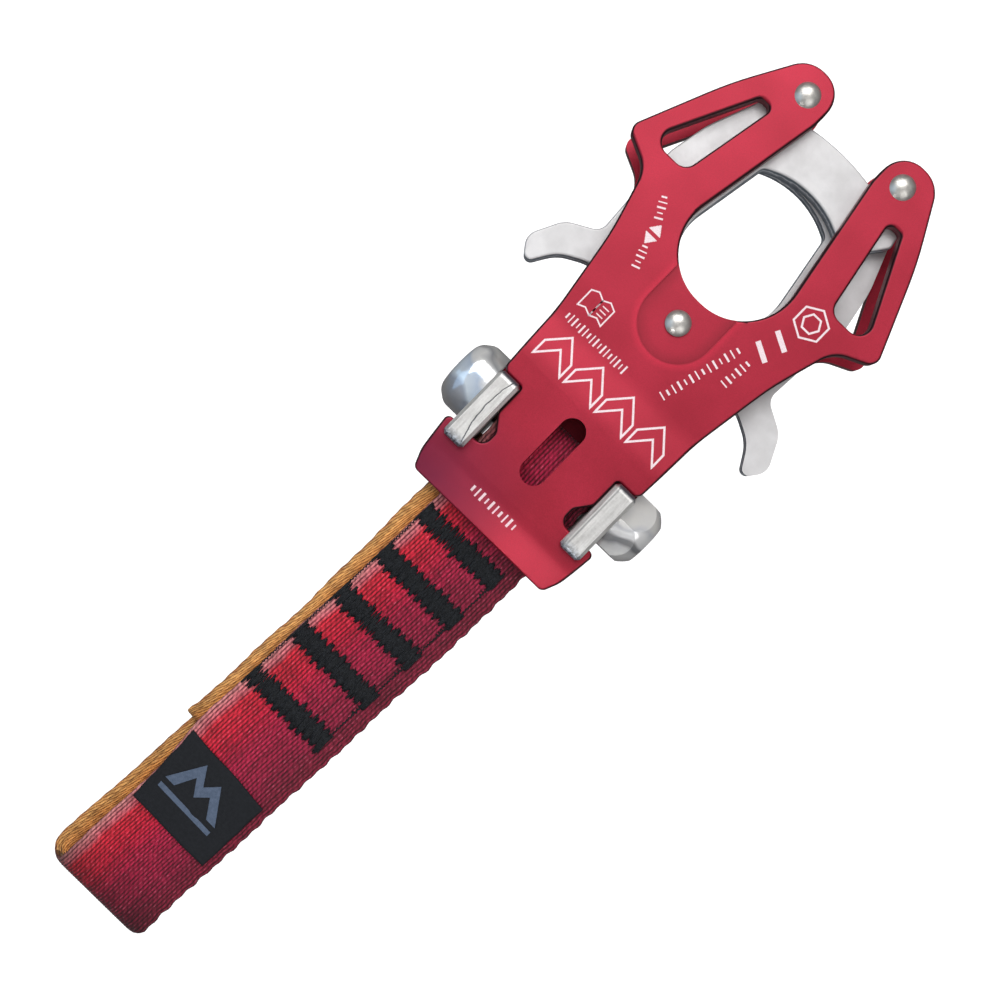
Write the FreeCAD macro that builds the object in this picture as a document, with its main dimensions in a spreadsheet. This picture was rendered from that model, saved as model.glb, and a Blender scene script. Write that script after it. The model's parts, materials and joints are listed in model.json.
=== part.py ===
"""Self-closing twin-gate anchor connector with a sewn webbing sling, as a parametric assembly.

Frame: the connector lies on its back.  +Y points from the sling to the open mouth, +X to the
right and +Z out of the front plate.  Every piece is drawn about the gate pivot (x right, y toward
the mouth, z from the middle plane) and is then moved to the assembly by its Placement.
"""
import FreeCAD, Part
import math
import os

import Sketcher
from FreeCAD import Placement, Rotation, Vector

doc = FreeCAD.newDocument("twin_gate_connector")

# ---------------------------------------------------------------- driving dimensions (mm)
DIMENSIONS = {
    # where the pivot sits above the frame's origin
    "pivot_up": 57.55,
    "mid_height": 11.7,
    # side plates
    "plate_thick": 3.0,
    "plate_gap_half": 4.25,
    "belly_out": 1.75,
    "relief_depth": 0.4,
    "plate_edge": 0.6,
    # gates
    "gate_thick": 3.6,
    "gate_apart": 0.4,
    "gate_bore": 2.65,
    "gate_edge": 0.5,
    "hub_rad": 5.4,
    "chamber_rad": 4.5,
    "chamber_deep": 1.25,
    "tip_swing": 50.6,
    # pivot and tip fasteners
    "rivet_shank": 1.9,
    "rivet_head": 2.8,
    "rivet_dome": 1.3,
    "tip_x": 13.8,
    "tip_y": 52.9,
    "tube_bore": 1.95,
    "bushing_rad": 2.6,
    "spacer_rad": 3.7,
    "washer_rad": 5.2,
    "washer_thick": 0.4,
    # torsion spring
    "wire_rad": 0.4,
    "coil_rad": 3.75,
    "coil_pitch": 0.82,
    "coil_turns": 2.5,
    "coil_leg": 8.0,
    # sling bolt, nut and ears
    "bolt_y": -37.5,
    "bolt_rad": 4.0,
    "bolt_head_rad": 8.3,
    "bolt_head_long": 7.9,
    "bolt_end": 24.5,
    "nut_flats": 14.0,
    "nut_long": 8.5,
    "ear_in": 14.0,
    "ear_thick": 5.4,
    "ear_half_deep": 11.7,
    "ear_top": -32.5,
    "ear_foot": -50.5,
    "ear_edge": 0.7,
    "bolt_play": 0.05,
    # webbing sling
    "web_thick": 1.8,
    "web_wide": 25.4,
    "web_layer": 1.85,
    "flex_y": -61.4,
    "flex_rad": 2.7,
    "flex_play": 0.3,
    "eye_half": 4.0,
    "sling_end": -173.5,
    "tack_tall": 5.5,
    "tack_wide": 21.9,
    "thread_high": 0.4,
    "label_wide": 21.6,
    "label_tall": 18.7,
    "label_thick": 0.5,
}

sheet = doc.addObject("Spreadsheet::Sheet", "dims")
for row, (alias, number) in enumerate(DIMENSIONS.items(), start=1):
    sheet.set(f"A{row}", alias)
    sheet.set(f"B{row}", str(number))
    sheet.setAlias(f"B{row}", alias)
doc.recompute()


def dim(alias):
    """A driving dimension, read from the sheet."""
    return float(sheet.get(alias))


# ---------------------------------------------------------------- outlines of lines and arcs
def unit(start, end):
    step = (end[0] - start[0], end[1] - start[1])
    size = math.hypot(*step)
    return (step[0] / size, step[1] / size)


def rounded(corners):
    """Lines and tangent arcs of a closed outline.  Each corner is (x, y, radius)."""
    edges = []
    rounds = []
    count = len(corners)
    for index, (x, y, radius) in enumerate(corners):
        back = unit((x, y), corners[index - 1])
        ahead = unit((x, y), corners[(index + 1) % count])
        cosine = back[0] * ahead[0] + back[1] * ahead[1]
        half = math.acos(max(-1.0, min(1.0, cosine))) / 2
        reach = radius / math.tan(half)
        enter = Vector(x + back[0] * reach, y + back[1] * reach, 0)
        leave = Vector(x + ahead[0] * reach, y + ahead[1] * reach, 0)
        middle = None
        if radius > 0:
            split = unit((0, 0), (back[0] + ahead[0], back[1] + ahead[1]))
            centre = radius / math.sin(half)
            middle = Vector(x + split[0] * (centre - radius), y + split[1] * (centre - radius), 0)
        rounds.append((enter, middle, leave, reach))
    for index, (enter, middle, leave, reach) in enumerate(rounds):
        following = rounds[(index + 1) % count]
        if middle is not None:
            edges.append(Part.Arc(enter, middle, leave))
        run = math.dist(corners[index][:2], corners[(index + 1) % count][:2])
        if reach + following[3] > run + 1e-6:
            raise ValueError(f"corner {index}: its arc does not fit, {reach + following[3]:.2f} > {run:.2f}")
        if leave.distanceToPoint(following[0]) > 1e-5:
            edges.append(Part.LineSegment(leave, following[0]))
    return edges


def mirrored(corners):
    """The same outline on the other side of the Y axis."""
    return [(-x, y, radius) for x, y, radius in reversed(corners)]


def flipped(corners):
    """The same side-view profile on the other side of the middle plane."""
    return [(y, -z, radius) for y, z, radius in reversed(corners)]


def both_sides(right_half):
    """A closed outline from its right half, which starts and ends beside the Y axis."""
    return right_half + mirrored(right_half)


def strip(path, thick):
    """Profile of a bent strip: its middle line, corner by corner, widened by half the thickness."""
    sides = []
    for side in (1, -1):
        line = []
        for index, (x, y, radius) in enumerate(path):
            before = unit(path[index - 1], path[index]) if index > 0 else None
            after = unit(path[index], path[index + 1]) if index < len(path) - 1 else None
            before = before or after
            after = after or before
            turn = before[0] * after[1] - before[1] * after[0]
            normal = (-(before[1] + after[1]) / 2, (before[0] + after[0]) / 2)
            size = normal[0] ** 2 + normal[1] ** 2
            shift = side * thick / 2 / size
            grown = 0.0
            if radius > 0:
                grown = radius - side * math.copysign(thick / 2, turn)
            line.append((x + normal[0] * shift, y + normal[1] * shift, grown))
        sides.append(line)
    return sides[0] + list(reversed(sides[1]))


def arc_corner(radius, start, end):
    """The one corner whose rounding is an arc about the pivot between two angles."""
    middle = math.radians((start + end) / 2)
    reach = radius / math.cos(math.radians(end - start) / 2)
    return (reach * math.cos(middle), reach * math.sin(middle), radius)


def circle(x, y, radius):
    return Part.Circle(Vector(x, y, 0), Vector(0, 0, 1), radius)


# ---------------------------------------------------------------- building blocks
PLANES = {"front": "XY_Plane", "side": "YZ_Plane"}
FAR = 260.0
OVER_WIDE = 90.0


def new_body(name):
    body = doc.addObject("PartDesign::Body", name)
    body.Label = name
    body.setExpression("Placement.Base.y", "dims.pivot_up")
    body.setExpression("Placement.Base.z", "dims.mid_height")
    return body


def new_sketch(body, name, plane, offset=0.0):
    """A sketch on one of the body's own planes, moved along that plane's normal."""
    sketch = body.newObject("Sketcher::SketchObject", name)
    planes = [item for item in body.Origin.OriginFeatures if item.Role == PLANES[plane]]
    sketch.AttachmentSupport = [(planes[0], "")]
    sketch.MapMode = "FlatFace"
    sketch.AttachmentOffset = Placement(Vector(0, 0, offset), Rotation())
    return sketch


def add_pad(body, sketch, length, midplane=False):
    pad = body.newObject("PartDesign::Pad", sketch.Name + "_pad")
    pad.Profile = sketch
    pad.Midplane = midplane
    if isinstance(length, str):
        pad.setExpression("Length", length)
    else:
        pad.Length = length
    doc.recompute()
    return pad


def add_pocket(body, sketch, depth=None, up=False, midplane=False):
    """Cut along the sketch's normal: down by default, right through without a depth."""
    before = body.Shape.Volume
    pocket = body.newObject("PartDesign::Pocket", sketch.Name + "_cut")
    pocket.Profile = sketch
    pocket.Midplane = midplane
    pocket.Reversed = up
    if depth is None:
        pocket.Type = "ThroughAll"
    else:
        pocket.setExpression("Length", depth)
    doc.recompute()
    if body.Shape.Volume > before - 1e-3:
        raise RuntimeError(f"{pocket.Name} removes nothing")
    return pocket


def bind_circle(sketch, x, y, expression):
    """A circle in a sketch whose radius is bound to the sheet."""
    place = sketch.addGeometry(circle(x, y, 1.0))
    number = sketch.addConstraint(Sketcher.Constraint("Radius", place, 1.0))
    sketch.setExpression(f"Constraints[{number}]", expression)


def trim_outside(body, name, outline, up=None):
    """Cut away all that lies outside a front-view outline, on one side of the plane or on both."""
    sketch = new_sketch(body, name, "front")
    frame = [(-FAR, -FAR, 0), (FAR, -FAR, 0), (FAR, FAR, 0), (-FAR, FAR, 0)]
    sketch.addGeometry(rounded(frame) + rounded(outline))
    add_pocket(body, sketch, up=bool(up), midplane=up is None)


def tube(name, outer, inner, length, places, bottom):
    """Plain tubes standing on end: one solid at each place, joined as one node."""
    pieces = []
    for index, (x, y, z) in enumerate(places):
        solid = doc.addObject("Part::Cylinder", f"{name}_outer_{index}")
        solid.setExpression("Radius", outer)
        solid.setExpression("Height", length)
        bore = doc.addObject("Part::Cylinder", f"{name}_bore_{index}")
        bore.setExpression("Radius", inner)
        bore.setExpression("Height", length)
        piece = doc.addObject("Part::Cut", f"{name}_{index}")
        piece.Base = solid
        piece.Tool = bore
        piece.Placement = Placement(Vector(x, y, z + bottom), Rotation())
        pieces.append(piece)
    return group(name, pieces)


def group(name, pieces):
    """Separate solids of one node, moved to the assembly together."""
    node = doc.addObject("Part::Compound", name)
    node.Label = name
    node.Links = pieces
    node.setExpression("Placement.Base.y", "dims.pivot_up")
    node.setExpression("Placement.Base.z", "dims.mid_height")
    return node


def block(name, wide, tall, high, corner):
    """A box with its lowest corner at the given place."""
    box = doc.addObject("Part::Box", name)
    for side, size in (("Length", wide), ("Width", tall), ("Height", high)):
        if isinstance(size, str):
            box.setExpression(side, size)
        else:
            setattr(box, side, size)
    box.Placement = Placement(Vector(*corner), Rotation())
    return box


# ---------------------------------------------------------------- side plates
MOUTH_BOTTOM = 6.3
MOUTH_SIDE = (8.3, 49.5)
TIP_TOP = 58.9
NOTCH_TOP = -32.4
LIP_TOP = -46.9
PLATE_FOOT = -60.0

PLATE_HALF = [
    (16.0, MOUTH_BOTTOM, 13.0),
    (*MOUTH_SIDE, 12.0),
    (8.2, TIP_TOP, 5.8),
    (18.65, TIP_TOP, 6.6),
    (27.3, 43.6, 90.0),
    (36.2, 22.4, 2.4),
    (27.6, 18.4, 7.0),
    (23.4, 3.9, 60.0),
    (20.4, -15.1, 60.0),
    (19.5, NOTCH_TOP, 1.8),
    (13.9, NOTCH_TOP, 0.8),
    (13.9, -39.6, 2.0),
    (11.3, -43.0, 1.8),
    (11.3, LIP_TOP, 2.2),
    (21.2, LIP_TOP, 1.2),
    (20.2, -56.0, 8.0),
    (18.7, PLATE_FOOT, 1.6),
]
WINDOW = [
    (17.0, 46.0, 1.55),
    (21.25, 23.8, 2.9),
    (31.3, 23.8, 2.9),
    (20.4, 46.0, 1.55),
]
SLOT_WIDE = 5.8
SLOT_FROM = -46.2
FRONT_SLOT_TO = -28.9
BACK_SLOT_TO = -33.6
RELIEF_RAD = 8.6
RELIEF_TOP = 14.0


def slot_outline(top):
    half = SLOT_WIDE / 2
    return both_sides([(half, SLOT_FROM, half), (half, top, half)])


def plate_profile():
    """Side view of a plate: flat round the gates, bellied out round the sling, rolled in at its foot."""
    thick = dim("plate_thick")
    flat = dim("plate_gap_half") + thick / 2
    belly = flat + dim("belly_out")
    path = [
        (70.0, flat, 0),
        (-17.0, flat, 20.0),
        (-25.0, belly, 20.0),
        (-52.5, belly, 9.0),
        (-63.0, belly - 4.0, 0),
    ]
    return strip(path, thick)


def rim_seeds(shape, level):
    """One edge of each loop round a plate's flat outer face; a fillet follows the rest of the loop."""
    seeds = []
    for number, edge in enumerate(shape.Edges, start=1):
        box = edge.BoundBox
        on_face = abs(box.ZMin - level) < 1e-3 and abs(box.ZMax - level) < 1e-3
        if on_face and len(edge.Vertexes) == 2 and box.YMin > 14.0 and box.YMax < 56.0:
            seeds.append(f"Edge{number}")
    return seeds


def build_plate(name, side):
    """One plate of the fork: side 1 is the front plate, side -1 the back plate."""
    body = new_body(name)
    profile = plate_profile()
    if side < 0:
        profile = flipped(profile)
    sketch = new_sketch(body, name + "_profile", "side")
    sketch.addGeometry(rounded(profile))
    add_pad(body, sketch, OVER_WIDE, midplane=True)
    trim_outside(body, name + "_outline", both_sides(PLATE_HALF))

    openings = new_sketch(body, name + "_openings", "front")
    slot = slot_outline(FRONT_SLOT_TO if side > 0 else BACK_SLOT_TO)
    openings.addGeometry(rounded(WINDOW) + rounded(mirrored(WINDOW)) + rounded(slot))
    add_pocket(body, openings, midplane=True)

    holes = new_sketch(body, name + "_holes", "front")
    for x, y in ((0, 0), (dim("tip_x"), dim("tip_y")), (-dim("tip_x"), dim("tip_y"))):
        bind_circle(holes, x, y, "dims.rivet_shank")
    add_pocket(body, holes, midplane=True)

    outer = side * (dim("plate_gap_half") + dim("plate_thick"))
    rim = body.newObject("PartDesign::Fillet", name + "_rim")
    rim.Base = (body.Group[-2], rim_seeds(pad_shape(body), outer))
    rim.setExpression("Radius", "dims.plate_edge")
    doc.recompute()

    relief = new_sketch(body, name + "_relief", "front", outer)
    wide = RELIEF_RAD
    half = [(wide, -wide, wide), (wide, RELIEF_TOP, 1.0)]
    relief.addGeometry(rounded(both_sides(half)))
    add_pocket(body, relief, "dims.relief_depth", up=side < 0)
    return body


# ---------------------------------------------------------------- gates
GROOVE_PLAY = 0.3


def gate_outline():
    """Left gate, closed: hook across the mouth, leg in the left arm, finger lever, hub and closing cam."""
    return [
        arc_corner(dim("tip_swing"), 68.0, 112.0),
        (-20.35, 46.36, 1.6),
        (-24.9, 34.8, 25.0),
        (-26.7, 25.5, 12.0),
        (-25.3, 3.4, 3.0),
        (-32.3, -0.4, 6.0),
        (-36.2, -8.2, 3.6),
        (-32.6, -12.9, 1.5),
        (-28.6, -6.4, 9.0),
        (-21.5, -2.6, 12.0),
        (-9.0, -3.6, 8.0),
        (-4.5, -dim("hub_rad"), 3.0),
        (dim("hub_rad"), -dim("hub_rad"), dim("hub_rad") - 0.1),
        (dim("hub_rad"), 1.0, 1.0),
        (9.4, 4.2, 1.4),
        (6.6, 7.9, 1.0),
        (4.6, 5.5, 1.0),
        (-15.4, 5.5, 13.2),
        (-10.0, 36.8, 1.8),
        (0.5, 42.0, 21.0),
        (13.2, 36.2, 2.4),
        (18.3, 39.6, 5.0),
        (21.2, 43.4, 1.2),
        (20.6, 46.26, 0.9),
    ]


def build_gate(name, side):
    """A hook gate: side 1 is the left gate in the front layer, side -1 the right gate behind it."""
    body = new_body(name)
    outline = gate_outline()
    if side < 0:
        outline = mirrored(outline)
    inner = side * dim("gate_apart") / 2
    sketch = new_sketch(body, name + "_outline", "front", inner)
    sketch.addGeometry(rounded(outline))
    pad = add_pad(body, sketch, "dims.gate_thick")
    pad.Reversed = side < 0
    doc.recompute()

    bore = new_sketch(body, name + "_bore", "front")
    bind_circle(bore, 0, 0, "dims.gate_bore")
    add_pocket(body, bore, midplane=True)

    chamber = new_sketch(body, name + "_chamber", "front", inner)
    bind_circle(chamber, 0, 0, "dims.chamber_rad")
    add_pocket(body, chamber, "dims.chamber_deep", up=side > 0)

    groove = new_sketch(body, name + "_spring_groove", "front", inner)
    half = dim("wire_rad") + GROOVE_PLAY
    far = -side * (dim("coil_leg") + 2 * GROOVE_PLAY)
    groove.addGeometry(rounded([(0, -half, 0), (0, half, 0), (far, half, 0), (far, -half, 0)]))
    add_pocket(body, groove, "dims.chamber_deep", up=side > 0)

    rim = body.newObject("PartDesign::Fillet", name + "_rim")
    level = inner + side * dim("gate_thick")
    names = []
    for number, edge in enumerate(pad_shape(body).Edges, start=1):
        box = edge.BoundBox
        on_face = abs(box.ZMin - level) < 1e-4 and abs(box.ZMax - level) < 1e-4
        if on_face and max(abs(box.XMin), abs(box.XMax), abs(box.YMin), abs(box.YMax)) > 3.0:
            names.append(f"Edge{number}")
    rim.Base = (body.Group[-2], names)
    rim.setExpression("Radius", "dims.gate_edge")
    doc.recompute()
    return body


def pad_shape(body):
    """The body's latest solid in its own coordinates."""
    solids = [item for item in body.Group if item.isDerivedFrom("PartDesign::Feature") and item.Shape.Solids]
    return solids[-1].Shape


# ---------------------------------------------------------------- fasteners of the fork
def dome(name, side):
    """A rivet head: the cap of a sphere, standing on a plate's outer face."""
    face = dim("plate_gap_half") + dim("plate_thick")
    rise = dim("rivet_dome")
    radius = (dim("rivet_head") ** 2 + rise ** 2) / (2 * rise)
    cap = doc.addObject("Part::Sphere", name)
    cap.Radius = radius
    cap.Angle1 = math.degrees(math.asin((radius - rise) / radius))
    cap.Angle2 = 90.0
    turn = Rotation() if side > 0 else Rotation(Vector(1, 0, 0), 180)
    cap.Placement = Placement(Vector(0, 0, side * (face + rise - radius)), turn)
    return cap


def rivet(name, x, y):
    """A rivet that clamps both plates: a plain shank with a domed head at either end."""
    shank = doc.addObject("Part::Cylinder", name + "_shank")
    shank.setExpression("Radius", "dims.rivet_shank")
    shank.setExpression("Height", "2 * (dims.plate_gap_half + dims.plate_thick)")
    shank.Placement = Placement(Vector(0, 0, -dim("plate_gap_half") - dim("plate_thick")), Rotation())
    whole = doc.addObject("Part::MultiFuse", name)
    whole.Shapes = [shank, dome(name + "_front_head", 1), dome(name + "_back_head", -1)]
    whole.Placement = Placement(Vector(x, y, 0), Rotation())
    return whole


def build_fork_fasteners():
    tip = (dim("tip_x"), dim("tip_y"))
    group("pivot_rivet", [rivet("pivot_turned", 0, 0)])
    group("tip_rivets", [rivet("left_turned", -tip[0], tip[1]), rivet("right_turned", tip[0], tip[1])])
    gap = -dim("plate_gap_half")
    tube("pivot_bushing", "dims.bushing_rad", "dims.tube_bore", "2 * dims.plate_gap_half", [(0, 0, 0)], gap)
    tips = [(-tip[0], tip[1], 0), (tip[0], tip[1], 0)]
    tube("tip_spacers", "dims.spacer_rad", "dims.tube_bore", "2 * dims.plate_gap_half", tips, gap)
    levels = [(0, 0, 0), (0, 0, 2 * dim("plate_gap_half") - dim("washer_thick"))]
    tube("gate_washers", "dims.washer_rad", "dims.gate_bore", "dims.washer_thick", levels, gap)


def build_spring():
    """Torsion spring round the bushing: one leg lies in each gate's groove and pushes it shut."""
    coil = dim("coil_rad")
    rise = dim("coil_pitch") * dim("coil_turns")
    wire_rad = dim("wire_rad")
    helix = Part.makeHelix(dim("coil_pitch"), rise, coil)
    helix.translate(Vector(0, 0, -rise / 2))
    section = Part.Wire(Part.makeCircle(wire_rad, Vector(coil, 0, -rise / 2), Vector(0, 1, 0)))
    turns = Part.Wire(helix.Edges).makePipeShell([section], True, True)
    end_angle = math.radians(360.0 * dim("coil_turns"))
    solids = [turns]
    for angle, level in ((0.0, -rise / 2), (end_angle, rise / 2)):
        away = Vector(math.cos(angle), math.sin(angle), 0)
        start = away * (coil + wire_rad) + Vector(0, 0, level)
        solids.append(Part.makeCylinder(wire_rad, dim("coil_leg") - coil - wire_rad, start, away))
    spring = doc.addObject("Part::Feature", "torsion_spring")
    spring.Label = "torsion_spring"
    spring.Shape = Part.Compound(solids)
    spring.Placement = Placement(Vector(0, dim("pivot_up"), dim("mid_height")), Rotation())
    return spring


# ---------------------------------------------------------------- sling bolt, nut and ears
def build_bolt():
    """Bolt with a domed head on the left; its end is covered by the cap nut on the right."""
    body = new_body("sling_bolt")
    outer = dim("ear_in") + dim("ear_thick")
    head = dim("bolt_head_rad")
    end = outer + dim("bolt_head_long")
    sketch = new_sketch(body, "bolt_half_section", "front")
    sketch.AttachmentOffset = Placement(Vector(0, dim("bolt_y"), 0), Rotation())
    shank = dim("bolt_rad")
    half = [
        (-end, 0, 0),
        (dim("bolt_end"), 0, 0),
        (dim("bolt_end"), shank, 0.8),
        (-outer, shank, 0),
        (-outer, head, 0.4),
        (-outer - 4.9, head, 3.2),
        (-end, head * 0.73, 3.0),
    ]
    sketch.addGeometry(rounded(half))
    turned = body.newObject("PartDesign::Revolution", "bolt_turned")
    turned.Profile = sketch
    turned.ReferenceAxis = (sketch, ["H_Axis"])
    turned.Angle = 360.0
    doc.recompute()
    return body


NUT_DOME = 8.5
NUT_DOME_FROM = 1.6


def build_nut():
    """Hexagon cap nut with a domed end."""
    outer = dim("ear_in") + dim("ear_thick")
    hexagon = doc.addObject("Part::Prism", "nut_hexagon")
    hexagon.Polygon = 6
    hexagon.setExpression("Circumradius", "dims.nut_flats / 2 / cos(30)")
    hexagon.setExpression("Height", "dims.nut_long")
    hexagon.Placement = Placement(Vector(outer, dim("bolt_y"), 0), Rotation(Vector(0, 1, 0), 90))
    dome = doc.addObject("Part::Sphere", "nut_dome")
    dome.Radius = NUT_DOME
    dome.Placement = Placement(Vector(outer + NUT_DOME_FROM, dim("bolt_y"), 0), Rotation())
    blank = doc.addObject("Part::Common", "nut_blank")
    blank.Base = hexagon
    blank.Tool = dome
    bore = doc.addObject("Part::Cylinder", "nut_bore")
    bore.setExpression("Radius", "dims.bolt_rad")
    bore.Height = dim("bolt_end") - outer + 0.4
    bore.Placement = Placement(Vector(outer, dim("bolt_y"), 0), Rotation(Vector(0, 1, 0), 90))
    nut = doc.addObject("Part::Cut", "nut_cut")
    nut.Base = blank
    nut.Tool = bore
    group("cap_nut", [nut])


def ear_profile():
    """Side view of an ear: a block whose foot is slotted over the lip of each plate."""
    deep = dim("ear_half_deep")
    top = dim("ear_top")
    foot = dim("ear_foot")
    belly_inner = dim("plate_gap_half") + dim("belly_out") - 0.15
    belly_outer = belly_inner + dim("plate_thick") + 0.3
    ledge = LIP_TOP + 0.2
    return [
        (top, -deep, 1.6),
        (foot, -deep, 1.2),
        (foot, -belly_outer, 0),
        (ledge, -belly_outer, 0.3),
        (ledge, -belly_inner, 0.3),
        (foot, -belly_inner, 0.6),
        (foot, belly_inner, 0.6),
        (ledge, belly_inner, 0.3),
        (ledge, belly_outer, 0.3),
        (foot, belly_outer, 0),
        (foot, deep, 1.2),
        (top, deep, 1.6),
    ]


def build_ear(name, side):
    body = new_body(name)
    inner = dim("ear_in")
    start = inner if side > 0 else -inner - dim("ear_thick")
    sketch = new_sketch(body, name + "_profile", "side", start)
    sketch.addGeometry(rounded(ear_profile()))
    add_pad(body, sketch, "dims.ear_thick")
    hole = new_sketch(body, name + "_hole", "side")
    bind_circle(hole, dim("bolt_y"), 0, "dims.bolt_rad + dims.bolt_play")
    add_pocket(body, hole, midplane=True)
    edge = body.newObject("PartDesign::Chamfer", name + "_edge")
    names = []
    deep = dim("ear_half_deep")
    for number, line in enumerate(pad_shape(body).Edges, start=1):
        box = line.BoundBox
        flat = box.XMax - box.XMin < 1e-4
        if flat and max(abs(box.ZMin), abs(box.ZMax)) > deep - 1e-3:
            names.append(f"Edge{number}")
    edge.Base = (body.Group[-2], names)
    edge.setExpression("Size", "dims.ear_edge")
    doc.recompute()
    return body


# ---------------------------------------------------------------- webbing sling
FRONT_SHIFT = 1.8
BACK_SHIFT = -1.0
TAIL_SHIFT = -1.5
LEAN = 0.0435
TACK_ROWS = (-65.4, -77.5, -89.8, -102.0, -115.3)
EYE_FROM = -121.0
TACK_INSET = 0.15
RAIL_WIDE = 0.9
LABEL_TOP = -132.0
LABEL_INSET = 1.0


def band(shift, top, bottom, inset=0.0):
    """Front-view outline of a strand that leans a little as it runs down."""
    half = dim("web_wide") / 2 - inset
    drop = dim("flex_y") - bottom
    rise = dim("flex_y") - top
    return [
        (shift - half - rise * LEAN, top, 0),
        (shift - half - drop * LEAN, bottom, 0),
        (shift + half - drop * LEAN, bottom, 0),
        (shift + half - rise * LEAN, top, 0),
    ]


def wrap_outline(shift):
    """Straight over the bolt, then drifting to the strand's own line below the plates."""
    half = dim("web_wide") / 2
    return [
        (-half, -25.0, 0),
        (-half, -46.0, 10.0),
        (shift - half, dim("flex_y"), 0),
        (shift + half, dim("flex_y"), 0),
        (half, -46.0, 10.0),
        (half, -25.0, 0),
    ]


def build_wrap():
    """The part of the webbing loop that goes round the bolt, down to where the sling flexes."""
    body = new_body("sling_wrap")
    layer = dim("web_layer")
    round_bolt = dim("bolt_rad") + dim("bolt_play") + dim("web_thick") / 2
    top = dim("bolt_y") + round_bolt
    end = dim("flex_y") + 2.0
    path = [
        (end, layer, 0),
        (-57.0, layer, 12.0),
        (-44.5, round_bolt, 12.0),
        (top, round_bolt, round_bolt),
        (top, -round_bolt, round_bolt),
        (-44.5, -round_bolt, 12.0),
        (-57.0, -layer, 12.0),
        (end, -layer, 0),
    ]
    sketch = new_sketch(body, "wrap_profile", "side")
    sketch.addGeometry(rounded(strip(path, dim("web_thick"))))
    add_pad(body, sketch, OVER_WIDE, midplane=True)
    trim_outside(body, "wrap_front_outline", wrap_outline(FRONT_SHIFT), up=True)
    trim_outside(body, "wrap_back_outline", wrap_outline(BACK_SHIFT), up=False)
    socket = new_sketch(body, "wrap_socket", "side")
    bind_circle(socket, dim("flex_y"), 0, "dims.flex_rad + dims.flex_play")
    add_pocket(body, socket, midplane=True)
    return body


def build_strand(name, path, outline):
    """One lower strand; its upper end is rounded about the line where the sling flexes."""
    body = new_body(name)
    sketch = new_sketch(body, name + "_profile", "side")
    sketch.addGeometry(rounded(strip(path, dim("web_thick"))))
    add_pad(body, sketch, OVER_WIDE, midplane=True)
    trim_outside(body, name + "_outline", outline)
    ball = new_sketch(body, name + "_end", "side")
    middle = dim("flex_y")
    radius = dim("flex_rad")
    high = middle + 6.0
    ball.addGeometry([
        Part.Arc(Vector(middle, radius, 0), Vector(middle + radius, 0, 0), Vector(middle, -radius, 0)),
        Part.LineSegment(Vector(middle, -radius, 0), Vector(middle, -6.0, 0)),
        Part.LineSegment(Vector(middle, -6.0, 0), Vector(high, -6.0, 0)),
        Part.LineSegment(Vector(high, -6.0, 0), Vector(high, 6.0, 0)),
        Part.LineSegment(Vector(high, 6.0, 0), Vector(middle, 6.0, 0)),
        Part.LineSegment(Vector(middle, 6.0, 0), Vector(middle, radius, 0)),
    ])
    add_pocket(body, ball, midplane=True)
    return body


def build_sling():
    layer = dim("web_layer")
    eye = dim("eye_half")
    end = dim("sling_end") + dim("web_thick") / 2
    start = dim("flex_y") + 3.5
    for name, side, shift in (("front_strand", 1, FRONT_SHIFT), ("back_strand", -1, BACK_SHIFT)):
        path = [
            (start, side * layer, 0),
            (EYE_FROM, side * layer, 12.0),
            (EYE_FROM - 8.0, side * eye, 12.0),
            (end, side * eye, eye),
            (end, 0, 0),
        ]
        build_strand(name, path, band(shift, dim("flex_y") + 6, dim("sling_end") - 4))
    tail = [
        (start, 0, 0),
        (EYE_FROM, 0, 14.0),
        (EYE_FROM - 10.5, -2.0, 0),
    ]
    build_strand("overlap_strand", tail, band(TAIL_SHIFT, dim("flex_y") + 6, EYE_FROM - 20))


def strand_centre(shift, y):
    return shift - (dim("flex_y") - y) * LEAN


def build_stitching():
    """Bar tacks through the stack, and the rows that join them along both sides."""
    face = dim("web_layer") + dim("web_thick") / 2
    thread = dim("thread_high")
    tall = dim("tack_tall")
    tacks = []
    rails = []
    for index, y in enumerate(TACK_ROWS):
        for side, shift in ((1, FRONT_SHIFT), (-1, BACK_SHIFT)):
            left = strand_centre(shift, y) - dim("web_wide") / 2 + TACK_INSET
            level = face if side > 0 else -face - thread
            tacks.append(block(
                f"tack_{index}_{'front' if side > 0 else 'back'}",
                "dims.tack_wide", "dims.tack_tall", "dims.thread_high", (left, y - tall / 2, level)))
            if index + 1 < len(TACK_ROWS):
                lower = TACK_ROWS[index + 1] + tall / 2
                run = y - tall / 2 - lower
                for x in (left + RAIL_WIDE / 4, left + dim("tack_wide") - RAIL_WIDE * 1.25):
                    rails.append(block(
                        f"rail_{index}_{'front' if side > 0 else 'back'}_{len(rails)}",
                        RAIL_WIDE, run, "dims.thread_high", (x, lower, level)))
    group("bar_tacks", tacks)
    group("side_stitching", rails)


def build_label():
    y = LABEL_TOP - dim("label_tall") / 2
    left = strand_centre(FRONT_SHIFT, y) - dim("web_wide") / 2 + LABEL_INSET
    level = dim("eye_half") + dim("web_thick") / 2
    lean = Rotation(Vector(0, 0, 1), -math.degrees(math.atan(LEAN)))
    plain = block("label_plain", "dims.label_wide", "dims.label_tall", "dims.label_thick", (0, 0, 0))
    plain.Placement = Placement(Vector(left, y - dim("label_tall") / 2, level), lean)
    group("label", [plain])


# ---------------------------------------------------------------- assembly and export
build_plate("front_plate", 1)
build_plate("back_plate", -1)
build_gate("left_gate", 1)
build_gate("right_gate", -1)
build_fork_fasteners()
build_spring()
build_bolt()
build_nut()
build_ear("left_ear", -1)
build_ear("right_ear", 1)
build_wrap()
build_sling()
build_stitching()
build_label()
doc.recompute()

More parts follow.
